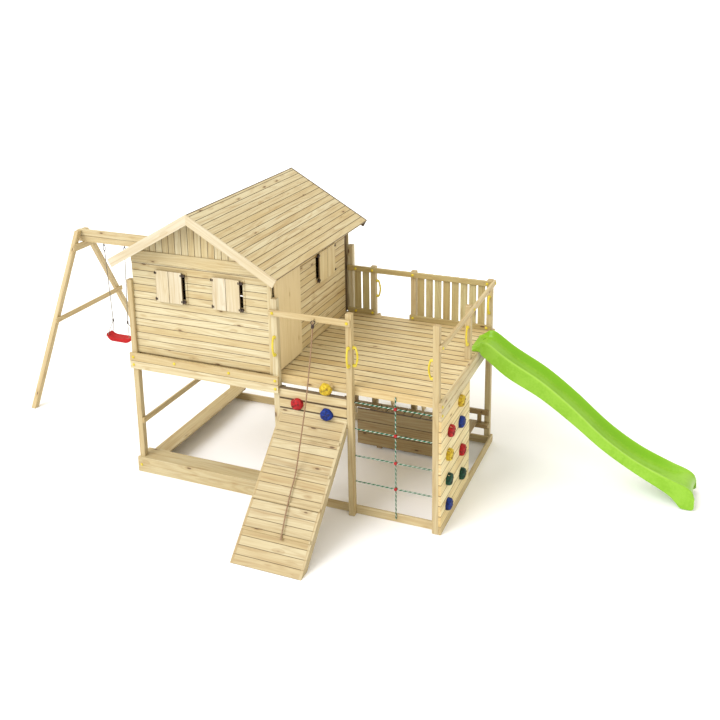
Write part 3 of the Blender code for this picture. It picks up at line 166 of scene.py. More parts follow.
# Swing
SWING_X = -1.809
SWING_PIVOT_Z = 1.988
SWING_TOP_HALF = 0.175
SWING_FOOT_HALF = 0.125
SWING_KNOT_Z = 0.850
SWING_ROPE_RADIUS = 0.006
LINK_DROP = 0.052
LINK_FOOT = 0.098
SEAT_Z = 0.560
SEAT_LENGTH = 0.430
SEAT_DEPTH = 0.165
SEAT_FLAT = 0.110
SEAT_CURL = 0.056
SEAT_THICK = 0.060
TAIL_X = 0.180

# Handles: the foot of each, and the way it stands out from its post
HANDLE_LENGTH = 0.245
HANDLE_STAND_OFF = 0.052
HANDLE_RADIUS = 0.012
HANDLE_FOOT = 0.022
HANDLES = (
    ("handle_ramp_left", (HOUSE_WIDTH, -HALF, 1.731), -BACK),
    ("handle_ramp_right", (RAMP_RIGHT_X, -HALF, 1.731), -BACK),
    ("handle_deck", (RAMP_RIGHT_X + HALF, 0, 1.731), RIGHT),
    ("handle_front_right", (RIGHT_X - HALF, 0, 1.722), -RIGHT),
    ("handle_slide_near", (RIGHT_X, SIDE_POST_Y - HALF, 1.665), -BACK),
    ("handle_slide_far", (RIGHT_X, DEPTH - HALF, 1.700), -BACK),
    ("handle_ladder", (LADDER_LEFT_X + HALF, DEPTH, 1.720), RIGHT),
)

# Climbing stones: colour, middle on the face that carries it, and the way it faces
STONE_WIDTH = 0.135
STONE_HEIGHT = 0.125
STONE_DEPTH = 0.050
STONE_BOLTS = ((0.0, 0.004), (0.030, 0.016), (-0.028, -0.012))
WALL_FACE = 3.6863
STONES = (
    ("yellow", (2.410, FRONT_FACE, 1.452), -BACK),
    ("red", (2.070, FRONT_FACE, 1.225), -BACK),
    ("blue", (2.415, FRONT_FACE, 1.162), -BACK),
    ("yellow", (WALL_FACE, 0.619, 1.236), RIGHT),
    ("blue", (WALL_FACE, 0.640, 0.979), RIGHT),
    ("red", (WALL_FACE, 0.255, 1.065), RIGHT),
    ("red", (WALL_FACE, 0.679, 0.624), RIGHT),
    ("yellow", (WALL_FACE, 0.202, 0.818), RIGHT),
    ("green", (WALL_FACE, 0.689, 0.327), RIGHT),
    ("green", (WALL_FACE, 0.199, 0.533), RIGHT),
    ("blue", (WALL_FACE, 0.195, 0.244), RIGHT),
)


# Shader maths


class Wire:
    """A value in a finish that is used in plain sums: each operator adds its Math node."""

    def __init__(self, finish, socket):
        self.finish = finish
        self.socket = socket

    def maths(self, operation, *others):
        return self.finish.maths(operation, self, *others)

    def beside(self, output):
        """Another output of the same node."""
        return Wire(self.finish, self.socket.node.outputs[output])

    def __add__(self, other):
        return self.maths("ADD", other)

    __radd__ = __add__

    def __sub__(self, other):
        return self.maths("SUBTRACT", other)

    def __rsub__(self, other):
        return self.finish.maths("SUBTRACT", other, self)

    def __mul__(self, other):
        return self.maths("MULTIPLY", other)

    __rmul__ = __mul__

    def __truediv__(self, other):
        return self.maths("DIVIDE", other)

    def __gt__(self, other):
        return self.maths("GREATER_THAN", other)

    def __lt__(self, other):
        return self.maths("LESS_THAN", other)

    def __pow__(self, other):
        return self.maths("POWER", other)

    def __abs__(self):
        return self.maths("ABSOLUTE")


class Finish:
    """A material while its nodes are put together."""

    def __init__(self, name, roughness=0.5, metallic=0.0, coat=0.0):
        self.material = bpy.data.materials.new(name)
        self.material.use_nodes = True
        self.tree = self.material.node_tree
        self.shader = self.tree.nodes["Principled BSDF"]
        self.set("Roughness", roughness)
        self.set("Metallic", metallic)
        self.set("Coat Weight", coat)

    def feed(self, socket, value):
        if isinstance(value, Wire):
            self.tree.links.new(value.socket, socket)
        else:
            socket.default_value = value

    def set(self, name, value):
        self.feed(self.shader.inputs[name], value)

    def node(self, kind, settings=None, sockets=None, output=0):
        """Adds any node: its settings first, then the values or wires of its sockets."""
        made = self.tree.nodes.new(kind)
        for name, value in (settings or {}).items():
            setattr(made, name, value)
        for name, value in (sockets or {}).items():
            self.feed(made.inputs[name], value)
        return Wire(self, made.outputs[output])

    def maths(self, operation, *values):
        return self.node("ShaderNodeMath", {"operation": operation}, dict(enumerate(values)))

    def place(self):
        return self.node("ShaderNodeTexCoord", output="Object")

    def dot(self, vector, direction):
        settings = {"operation": "DOT_PRODUCT"}
        return self.node("ShaderNodeVectorMath", settings, {0: vector, 1: direction}, "Value")

    def vector(self, x, y, z):
        return self.node("ShaderNodeCombineXYZ", sockets={"X": x, "Y": y, "Z": z})

    def noise(self, vector, scale=1.0, detail=2.0, rough=0.5):
        sockets = {"Vector": vector, "Scale": scale, "Detail": detail, "Roughness": rough}
        return self.node("ShaderNodeTexNoise", None, sockets)

    def chance(self, number):
        """A steady random number from 0 to 1 for each whole number."""
        return self.node("ShaderNodeTexWhiteNoise", {"noise_dimensions": "1D"}, {"W": number})

    def ease(self, value, start, end):
        """Runs smoothly from 0 at start to 1 at end."""
        settings = {"interpolation_type": "SMOOTHSTEP"}
        sockets = {"Value": value, "From Min": start, "From Max": end}
        return self.node("ShaderNodeMapRange", settings, sockets)

    def waves(self, value, rate):
        """Runs from 0 to 1 and back as a value rises, faster with a higher rate."""
        return (value * rate).maths("SINE") * 0.5 + 0.5

    def mix(self, first, second, share, blend="MIX"):
        settings = {"data_type": "RGBA", "blend_type": blend}
        return self.node("ShaderNodeMix", settings, {0: share, 6: first, 7: second}, 2)

    def bump(self, height, strength, distance):
        sockets = {"Height": height, "Strength": strength, "Distance": distance}
        self.set("Normal", self.node("ShaderNodeBump", None, sockets))


def shade(red, green, blue):
    """A colour as it looks on screen, from 0 to 255, turned into paint for this bright light."""
    parts = [value / 255 for value in (red, green, blue)]
    linear = [p / 12.92 if p < 0.04045 else ((p + 0.055) / 1.055) ** 2.4 for p in parts]
    return (*[p / BRIGHTNESS for p in linear], 1.0)


# Timber

Lay = namedtuple("Lay", "grain across pitch start seam within seed")
Wood = namedtuple("Wood", "pale warm ring knot seam")

PINE = Wood(
    pale=shade(216, 204, 166),
    warm=shade(200, 179, 130),
    ring=shade(170, 139, 88),
    knot=shade(92, 60, 30),
    seam=shade(78, 56, 28),
)
PALE_PINE = Wood(
    pale=shade(219, 211, 188),
    warm=shade(209, 194, 158),
    ring=shade(188, 165, 124),
    knot=shade(118, 82, 46),
    seam=shade(92, 70, 42),
)
PANEL = Wood(
    pale=shade(226, 208, 166),
    warm=shade(217, 196, 150),
    ring=shade(204, 181, 134),
    knot=shade(180, 150, 104),
    seam=shade(92, 70, 42),
)
# Dark brown wood for the back barge board: painted shade along the back verge.
BARGE_PAINTED_SHADE_WOOD = Wood(
    pale=shade(96, 74, 44),
    warm=shade(78, 58, 34),
    ring=shade(60, 44, 26),
    knot=shade(44, 30, 18),
    seam=shade(40, 28, 16),
)


def toned(wood, red, green, blue):
    """The same timber, lighter or darker in each part of its colour: a copy that carries painted light
    or painted shade.
    """
    return Wood(*[(r * red, g * green, b * blue, 1.0) for r, g, b, _ in wood])


def lay(grain, across, pitch=9.0, start=-4.5, seam=0.0, within=None, seed=0):
    """How boards lie: the way of the grain, the way from board to board, and where that holds."""
    return Lay(Vector(grain).normalized(), Vector(across).normalized(), pitch, start, seam, within, seed)


def board_places(finish, place, normal, one):
    """Where a point is along, across and through its board, which board, its seam and its end grain."""
    along = finish.dot(place, one.grain)
    across = finish.dot(place, one.across)
    through = finish.dot(place, one.grain.cross(one.across))
    steps = (across - one.start) / one.pitch
    whole = steps.maths("FLOOR")
    from_edge = (0.5 - abs(steps - whole - 0.5)) * one.pitch
    seam = 1 - finish.ease(from_edge, one.seam * 0.45, one.seam) if one.seam else 0.0
    end = abs(finish.dot(normal, one.grain))
    return [along, across, through, whole + one.seed, seam, end]


def laid_boards(finish, place, lays):
    """The places of the first lay, and those of each later lay in the stretch where it holds."""
    normal = finish.node("ShaderNodeTexCoord", output="Normal")
    values = board_places(finish, place, normal, lays[0])
    for one in lays[1:]:
        axis, low, high = one.within
        spot = finish.dot(place, axis)
        inside = (spot > low) * (spot < high)
        more = board_places(finish, place, normal, one)
        values = [old + (new - old) * inside for old, new in zip(values, more)]
    return values


def stretched(finish, way, shift, slow, fast, detail, rough):
    """Noise drawn out along the grain: so many waves a metre along it, and so many across it."""
    along, across, through = way
    spot = finish.vector(along * slow + shift, across * fast, through * fast)
    return finish.noise(spot, 1.0, detail, rough)


def knots_of(finish, way, shift):
    """Half of the cells along the boards hold a knot: its dark core and the halo around it."""
    along, across, through = way
    cells = finish.vector(along * 3.4 + shift, across * 10 + shift, through * 10)
    from_middle = finish.node("ShaderNodeTexVoronoi", None, {"Vector": cells, "Scale": 1.0})
    chosen = finish.node("ShaderNodeSeparateColor", None, {"Color": from_middle.beside("Color")}) > 0.50
    knot = (1 - finish.ease(from_middle, 0.07, 0.13)) * chosen
    halo = (1 - finish.ease(from_middle, 0.08, 0.34)) * chosen
    return knot, halo


def timber(name, wood, lays, roughness=0.62):
    """Planed softwood: growth rings, fibre, knots, a tone for each board and dark seams."""
    finish = Finish(name)
    *way, board, seam, end = laid_boards(finish, finish.place(), lays)
    along, across, through = way
    luck = finish.chance(board * 7.31 + 3)
    shift = finish.chance(board * 3.17 + 11) * 40
    knot, halo = knots_of(finish, way, shift)
    slow = finish.vector(along * 0.7 + shift, across * 9 + shift, through * 9)
    swirl = finish.noise(slow, 1.0, 1.5, 0.45) + halo * 0.10
    late = finish.waves(swirl, 62) ** 2.6
    fibre = stretched(finish, way, shift, 7, 210, 2.0, 0.6)
    streak = stretched(finish, way, shift, 0.9, 42, 2.0, 0.5)
    blotch = stretched(finish, way, shift, 1.6, 5, 1.0, 0.5)
    pith = finish.noise(finish.vector(across * 1.0, through * 1.0, shift), 9.0, 0.0, 0.5)
    arcs = finish.waves(pith, 90)
    tone = luck * 0.95 + finish.ease(blotch, 0.35, 0.70) * 0.40 - 0.18
    colour = finish.mix(wood.pale, wood.warm, tone.maths("MAXIMUM", 0.0).maths("MINIMUM", 1.0))
    colour = finish.mix(colour, wood.ring, late * 0.30 + finish.ease(streak, 0.48, 0.70) * 0.42)
    colour = finish.mix(colour, wood.ring, finish.ease(fibre, 0.52, 0.72) * 0.26)
    colour = finish.mix(colour, wood.ring, finish.ease(end, 0.75, 0.92) * (0.30 + arcs * 0.35))
    colour = finish.mix(colour, wood.ring, halo * 0.45)
    colour = finish.mix(colour, wood.knot, knot * 0.85)
    colour = finish.mix(colour, wood.seam, seam * 0.90)
    finish.set("Base Color", colour)
    finish.set("Roughness", roughness + (fibre - 0.5) * 0.25 + knot * 0.05)
    finish.bump(fibre * 0.6 + late * 0.4 - seam * 2.0 - knot * 0.5, 0.35, 0.0008)
    return finish.material


# Other finishes


def add_painted_shading(finish, place, colour, painted_shading_bands):
    """Painted shade and painted highlights in stretches across the slide, which fade out towards its
    head and its foot.

    A band is its two edges, how soft they are, its painted shade or highlight colour and that colour's
    strength.
    """
    along = finish.dot(place, RIGHT)
    across = finish.dot(place, BACK)
    reach = finish.ease(along, *SLIDE_HEAD_FADE) * (1 - finish.ease(along, *SLIDE_FOOT_FADE))
    for low, high, soft, shading_colour, strength in painted_shading_bands:
        past_low = finish.ease(across, low - soft, low + soft)
        past_high = finish.ease(across, high - soft, high + soft)
        colour = finish.mix(colour, shading_colour, past_low * (1 - past_high) * reach * strength)
    return colour


def moulded(name, deep, bright, roughness=0.34, speckle=70.0, coat=0.15, cloudy=5.0, painted_shading_bands=()):
    """Moulded plastic: a cloudy colour, a fine orange peel, a soft gloss and, if given, bands of painted
    shade and painted highlights.
    """
    finish = Finish(name, coat=coat)
    finish.set("Specular IOR Level", 0.3)
    place = finish.place()
    cloud = finish.noise(place, cloudy, 3.0, 0.55)
    peel = finish.noise(place, speckle * 4, 2.0, 0.5)
    mottle = finish.noise(place, speckle, 3.0, 0.6)
    colour = finish.mix(deep, bright, finish.ease(cloud * 0.6 + mottle * 0.4, 0.36, 0.62))
    if painted_shading_bands:
        colour = add_painted_shading(finish, place, colour, painted_shading_bands)
    finish.set("Base Color", colour)
    finish.set("Roughness", roughness + (mottle - 0.5) * 0.18)
    finish.bump(peel * 0.6 + mottle * 0.4, 0.20, 0.0006)
    return finish.material


def metal(name, dark, light, roughness=0.35):
    """Steel with a worn, slightly clouded skin."""
    finish = Finish(name, metallic=0.9)
    place = finish.place()
    cloud = finish.noise(place, 90.0, 3.0, 0.6)
    fine = finish.noise(place, 700.0, 2.0, 0.5)
    finish.set("Base Color", finish.mix(dark, light, finish.ease(cloud, 0.35, 0.65)))
    finish.set("Roughness", roughness + (cloud - 0.5) * 0.3)
    finish.bump(fine, 0.15, 0.0003)
    return finish.material


def yarn(name, dark, light):
    """The fibres of a laid rope's strand."""
    finish = Finish(name, roughness=0.88)
    place = finish.place()
    cloud = finish.noise(place, 120.0, 2.0, 0.6)
    fibre = finish.noise(place, 1500.0, 2.0, 0.6)
    finish.set("Base Color", finish.mix(dark, light, finish.ease(cloud * 0.5 + fibre * 0.5, 0.38, 0.62)))
    finish.bump(fibre, 0.5, 0.0006)
    return finish.material


# Modelling


def added(name, data):
    """A new object in the scene."""
    item = bpy.data.objects.new(name, data)
    bpy.context.scene.collection.objects.link(item)
    return item


def select_only(*items):
    """Selects these items, with the first as the active one."""
    bpy.ops.object.select_all(action="DESELECT")
    for item in items:
        item.select_set(True)
    bpy.context.view_layer.objects.active = items[0]


def fresh(add, name, **settings):
    """Adds a primitive with nothing else selected."""
    bpy.ops.object.select_all(action="DESELECT")
    add(**settings)
    item = bpy.context.object
    item.name = name
    item.data.name = name
    return item


def choose(item, test):
    """Opens an item in edit mode with the faces selected whose middle and normal pass a test."""
    bpy.context.view_layer.objects.active = item
    bpy.ops.object.mode_set(mode="EDIT")
    bpy.ops.mesh.select_mode(type="FACE")
    bpy.ops.mesh.select_all(action="DESELECT")
    bpy.ops.object.mode_set(mode="OBJECT")
    for face in item.data.polygons:
        face.select = bool(test(face.center, face.normal))
    bpy.ops.object.mode_set(mode="EDIT")


def done():
    bpy.ops.object.mode_set(mode="OBJECT")


def on_top(_, normal):
    return normal.z > 0.9


def step_in(rim, rise):
    """Insets the chosen faces by a rim and lifts or sinks what is inside it."""
    bpy.ops.mesh.inset(thickness=rim)
    bpy.ops.mesh.extrude_region_move(TRANSFORM_OT_translate={"value": (0, 0, rise)})


def settle(item):
    """Puts an item's place, turn and size into its mesh."""
    select_only(item)
    bpy.ops.object.transform_apply(location=True, rotation=True, scale=True)


def apply_modifier(item, kind, **settings):
    bpy.context.view_layer.objects.active = item
    made = item.modifiers.new(kind.lower(), kind)
    for name, value in settings.items():
        setattr(made, name, value)
    bpy.ops.object.modifier_apply(modifier=made.name)


def bevel(item, width, segments=2):
    """Rounds an item's sharp edges."""
    apply_modifier(item, "BEVEL", width=width, segments=segments, limit_method="ANGLE")


def smooth(item, degrees):
    """Smooth shading, except over edges sharper than an angle."""
    select_only(item)
    bpy.ops.object.shade_smooth_by_angle(angle=math.radians(degrees))


def cylinder(name, sides, radius, depth, middle=(0, 0, 0), turn=(0, 0, 0)):
    item = fresh(
        bpy.ops.mesh.primitive_cylinder_add, name, vertices=sides, radius=radius, depth=depth,
        location=middle, rotation=turn,
    )
    settle(item)
    return item


def join(name, items):
    select_only(*items)
    bpy.ops.object.join()
    joined = bpy.context.object
    joined.name = name
    joined.data.name = name
    return joined


def dress(item, material, body, stands_for=()):
    """Gives a piece its finish, the body it moves with and the nodes it stands for."""
    item.data.materials.clear()
    item.data.materials.append(material)
    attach(item, body)
    if stands_for:
        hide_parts(*stands_for)


def twin(item, name, matrix):
    """A copy of a piece with its own mesh, moved to its place."""
    made = item.copy()
    made.data = item.data.copy()
    made.name = name
    made.data.name = name
    made.data.transform(matrix)
    bpy.context.scene.collection.objects.link(made)
    return made


def drop(item):
    bpy.data.objects.remove(item)


def facing(spot, out, turn=0.0):
    """Turns a piece modelled facing up so that it faces out from a spot."""
    quarter = Vector(out).to_track_quat("Z", "Y").to_matrix().to_4x4()
    return Matrix.Translation(spot) @ quarter @ Matrix.Rotation(turn, 4, "Z")


def bar(name, route, radius, roundness=3, widths=None):
    """A round bar with closed ends that follows a route, with a width for each point if given."""
    line = bpy.data.curves.new(name, "CURVE")
    line.dimensions = "3D"
    line.bevel_depth = radius
    line.bevel_resolution = roundness
    line.use_fill_caps = True
    spline = line.splines.new("POLY")
    spline.points.add(len(route) - 1)
    for i, (point, spot) in enumerate(zip(spline.points, route)):
        point.co = (*spot, 1.0)
        point.radius = widths[i] if widths else 1.0
    select_only(added(name, line))
    bpy.ops.object.convert(target="MESH")
    made = bpy.context.object
    made.data.name = name
    return made


def sleeve(name, foot, ahead, length, radius, narrow=0.8):
    """A short round sleeve with narrowed ends, from its foot the way ahead."""
    reaches = (0, 0.004, length - 0.004, length)
    route = [foot + ahead * reach for reach in reaches]
    made = bar(name, route, radius, 4, [narrow, 1.0, 1.0, narrow])
    smooth(made, 50)
    return made


def flowing(knots, steps):
    """A smooth route through knots, with the same number of steps between each two."""
    spots = [Vector(knot) for knot in knots]
    spots = [spots[0] * 2 - spots[1], *spots, spots[-1] * 2 - spots[-2]]
    route = []
    for a, b, c, d in zip(spots, spots[1:], spots[2:], spots[3:]):
        square = a * 2 - b * 5 + c * 4 - d
        cube = b * 3 - a - c * 3 + d
        for i in range(steps):
            t = i / steps
            route.append((b * 2 + (c - a) * t + square * t**2 + cube * t**3) / 2)
    return [*route, spots[-2]]


def evenly(route, step):
    """Points a step apart along a route."""
    spots = [Vector(spot) for spot in route]
    lengths = [(b - a).length for a, b in zip(spots, spots[1:])]
    total = sum(lengths)
    count = max(2, round(total / step))
    made = []
    leg, passed = 0, 0.0
    for i in range(count + 1):
        want = total * i / count
        while leg < len(lengths) - 1 and passed + lengths[leg] < want:
            passed += lengths[leg]
            leg += 1
        share = (want - passed) / lengths[leg]
        made.append(spots[leg].lerp(spots[leg + 1], min(1.0, share)))
    return made


def strand(name, route, radius, lay_length, start, beside, roundness):
    """One strand of a laid rope, wound round the rope's route."""
    spots = evenly(route, lay_length / 10)
    coil = []
    travelled = 0.0
    for i, spot in enumerate(spots):
        before = spots[max(0, i - 1)]
        after = spots[min(len(spots) - 1, i + 1)]
        ahead = (after - before).normalized()
        side = ahead.cross(beside).normalized()
        rise = side.cross(ahead)
        turn = start + math.tau * travelled / lay_length
        coil.append(spot + (side * math.cos(turn) + rise * math.sin(turn)) * radius * 0.48)
        if i < len(spots) - 1:
            travelled += (spots[i + 1] - spot).length
    return bar(name, coil, radius * 0.52, roundness)


def across_of(route):
    """A direction that a route never runs along."""
    run = Vector(route[-1]) - Vector(route[0])
    return UP if abs(run.normalized().z) < 0.5 else RIGHT


def laid_rope(name, routes, radius, lay_length, starts, beside=None, roundness=1):
    """Strands of a three strand rope along each route, as one mesh."""
    made = []
    for route in routes:
        side = across_of(route) if beside is None else beside
        for start in starts:
            made.append(strand(name, route, radius, lay_length, start, side, roundness))
    item = join(name, made)
    smooth(item, 60)
    return item


def sheet_of(name, rows):
    """A surface through rows of points."""
    width = len(rows[0])
    faces = []
    for r in range(len(rows) - 1):
        for c in range(width - 1):
            a = r * width + c
            faces.append((a, a + 1, a + width + 1, a + width))
    mesh = bpy.data.meshes.new(name)
    mesh.from_pydata([spot for row in rows for spot in row], [], faces)
    return added(name, mesh)


# Camera, light and floor


def make_camera():
    """A camera where the photograph was taken from."""
    picture = 720
    focal, middle_x, middle_y = 924.0999, 381.6215, 200.0
    yaw, pitch, roll = 0.3755, 0.2497, -0.009
    camera = added("camera", bpy.data.cameras.new("camera"))
    camera.data.sensor_width = 36.0
    camera.data.lens = focal * camera.data.sensor_width / picture
    camera.data.shift_x = (picture / 2 - middle_x) / picture
    camera.data.shift_y = (middle_y - picture / 2) / picture
    camera.data.clip_end = 500.0
    level = math.cos(pitch)
    forward = Vector((-math.sin(yaw) * level, math.cos(yaw) * level, -math.sin(pitch)))
    across = Vector((math.cos(yaw), math.sin(yaw), 0))
    rise = across.cross(forward)
    tilted = across * math.cos(roll) + rise * math.sin(roll)
    upright = rise * math.cos(roll) - across * math.sin(roll)
    turn = Matrix((tilted, upright, -forward)).transposed().to_4x4()
    camera.matrix_world = Matrix.Translation((6.2533, -8.136, 5.7842)) @ turn
    bpy.context.scene.camera = camera


def make_light():
    """A white room, with one broad light from the front left."""
    bpy.context.scene.view_settings.view_transform = "Standard"
    world = bpy.data.worlds.new("studio")
    world.use_nodes = True
    back = world.node_tree.nodes["Background"]
    back.inputs["Color"].default_value = (1.0, 0.965, 0.875, 1.0)
    back.inputs["Strength"].default_value = BRIGHTNESS
    bpy.context.scene.world = world
    lamp = bpy.data.lights.new("broad_light", "SUN")
    lamp.energy = SUN_STRENGTH * BRIGHTNESS
    lamp.angle = math.radians(40)
    lamp.color = (0.985, 0.995, 1.06)
    key = added("broad_light", lamp)
    key.rotation_mode = "QUATERNION"
    key.rotation_quaternion = Vector((-0.42, -0.62, 0.66)).to_track_quat("Z", "Y")


def make_floor():
    floor = fresh(bpy.ops.mesh.primitive_plane_add, "floor", size=600.0, location=(0, 0, -0.002))
    settle(floor)
    finish = Finish("floor_paint", roughness=0.9)
    grain = finish.noise(finish.place(), 3.0, 2.0, 0.5)
    finish.set("Base Color", finish.mix((0.92, 0.92, 0.93, 1), (0.95, 0.95, 0.96, 1), grain))
    finish.set("Specular IOR Level", 0.1)
    floor.data.materials.append(finish.material)


# Timber of each node

DOWN_RIGHT = Vector((math.cos(ROOF_PITCH), 0, -math.sin(ROOF_PITCH)))
DOWN_LEFT = Vector((-math.cos(ROOF_PITCH), 0, -math.sin(ROOF_PITCH)))
UP_RAMP = Vector((0, math.cos(RAMP_PITCH), math.sin(RAMP_PITCH)))
OFF_RAMP = Vector((0, -math.sin(RAMP_PITCH), math.cos(RAMP_PITCH)))
ALL_ABOVE = 99.0
# A seam wider than a board, which turns a whole stretch dark: painted shade at the ridge and at the side
# walls' back corner
PAINTED_SHADE_ALL_OVER = 0.5


def gable_lays():
    """Level siding, the corner batten, the girt over the windows and upright siding in the gable."""
    middle_board = HOUSE_MIDDLE - SIDING_PITCH / 2
    return [
        lay(RIGHT, UP, SIDING_PITCH, SIDING_BOTTOM, SIDING_SEAM),
        lay(UP, RIGHT, 0.9, CORNER_BATTEN_X, within=(RIGHT, CORNER_BATTEN_X, ALL_ABOVE), seed=41),
        lay(RIGHT, UP, GIRT_TOP - GIRT_BOTTOM, GIRT_BOTTOM, 0.003, (UP, GIRT_BOTTOM, GIRT_TOP), 50),
        lay(UP, RIGHT, SIDING_PITCH, middle_board, SIDING_SEAM, (UP, GIRT_TOP, ALL_ABOVE), 70),
    ]


def side_lays():
    """Level siding, and a band of painted shade where the back corner meets it."""
    return [
        lay(BACK, UP, SIDING_PITCH, SIDING_BOTTOM, SIDING_SEAM),
        lay(UP, BACK, 0.1, SIDE_BATTEN_Y, PAINTED_SHADE_ALL_OVER, (BACK, SIDE_BATTEN_Y, ALL_ABOVE), 33),
    ]


def roof_lays():
    """Boards along the ridge, and a painted shadow line at the ridge."""
    step = SIDING_PITCH * math.cos(ROOF_PITCH)
    ridge = (RIGHT, HOUSE_MIDDLE - RIDGE_SHADOW_LINE, HOUSE_MIDDLE + RIDGE_SHADOW_LINE)
    return [
        lay(BACK, RIGHT, step, HOUSE_MIDDLE + step / 2, SIDING_SEAM, seed=5),
        lay(BACK, RIGHT, 0.1, HOUSE_MIDDLE - 0.05, PAINTED_SHADE_ALL_OVER, ridge, 3),
    ]


def barge_lays():
    left_side = (RIGHT, -ALL_ABOVE, HOUSE_MIDDLE)
    return [
        lay(DOWN_RIGHT, DOWN_RIGHT.cross(BACK)),
        lay(DOWN_LEFT, DOWN_LEFT.cross(BACK), within=left_side, seed=4),
    ]


def leg_lays(node):
    """The grain of a leaning swing leg, from its box."""
    low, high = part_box(node)
    run = high.y - low.y - POST * 1.16
    side = 1 if node == "swing_leg_front" else -1
    return [lay((0, side * run, high.z - low.z), RIGHT)]


def ladder_lays():
    """Leaning sides, with level treads between them."""
    low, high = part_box("ladder")
    run = high.y - low.y - 0.09
    return [
        lay((0, -run, high.z - low.z), RIGHT),
        lay(RIGHT, UP, 0.25, 0.1, within=(RIGHT, low.x + 0.03, high.x - 0.03), seed=9),
    ]


def railing_lays():
    """Balusters, first to the right of the ladder and then to its left, and the two rails."""
    return [
        lay(UP, RIGHT, BALUSTER_PITCH, BALUSTER_START),
        lay(
            UP, RIGHT, BALUSTER_PITCH, SHORT_BALUSTER_START,
            within=(RIGHT, -ALL_ABOVE, SHORT_RAILING_END), seed=20,
        ),
        lay(RIGHT, UP, within=(UP, TOP_RAIL_LOW, ALL_ABOVE), seed=30),
        lay(RIGHT, UP, within=(UP, -ALL_ABOVE, FOOT_RAIL_HIGH), seed=31),
    ]


def ramp_lays():
    """Boards across the ramp, and the stringers at its sides."""
    low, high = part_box("ramp")
    right_side = (RIGHT, high.x - RIGHT_STRINGER, ALL_ABOVE)
    left_side = (RIGHT, -ALL_ABOVE, low.x + LEFT_STRINGER)
    return [
        lay(RIGHT, UP_RAMP, RAMP_PLANK, UP_RAMP.y * low.y, 0.003),
        lay(UP_RAMP, OFF_RAMP, within=right_side, seed=11),
        lay(UP_RAMP, OFF_RAMP, within=left_side, seed=12),
    ]


def climb_board_lays():
    return [
        lay(RIGHT, UP, 0.116, 1.148, 0.016),
        lay(RIGHT, UP, 0.124, 1.028, 0.016, (UP, 1.0, 1.154), 21),
    ]


def sandpit_lays():
    """The seat along the left side, and the one along the front."""
    return [
        lay(BACK, RIGHT, 0.9, 0.2),
        lay(RIGHT, BACK, 0.9, 0.2, within=(BACK, -ALL_ABOVE, FRONT_SEAT_BACK_Y), seed=8),
    ]


def deck_lays():
    """Deck boards, and the rim and joists below them."""
    return [
        lay(RIGHT, BACK, DECK_PITCH, DECK_START, DECK_SEAM),
        lay(RIGHT, UP, within=(UP, -ALL_ABOVE, DECK_RIM_TOP), seed=44),
    ]


def front_leaf_lays():
    """The two leaves of the left window, then those of the right one."""
    return [
        lay(UP, RIGHT, 0.169, 0.366, 0.004),
        lay(UP, RIGHT, 0.1702, 1.0848, 0.004, (RIGHT, 1.0, ALL_ABOVE), 8),
    ]


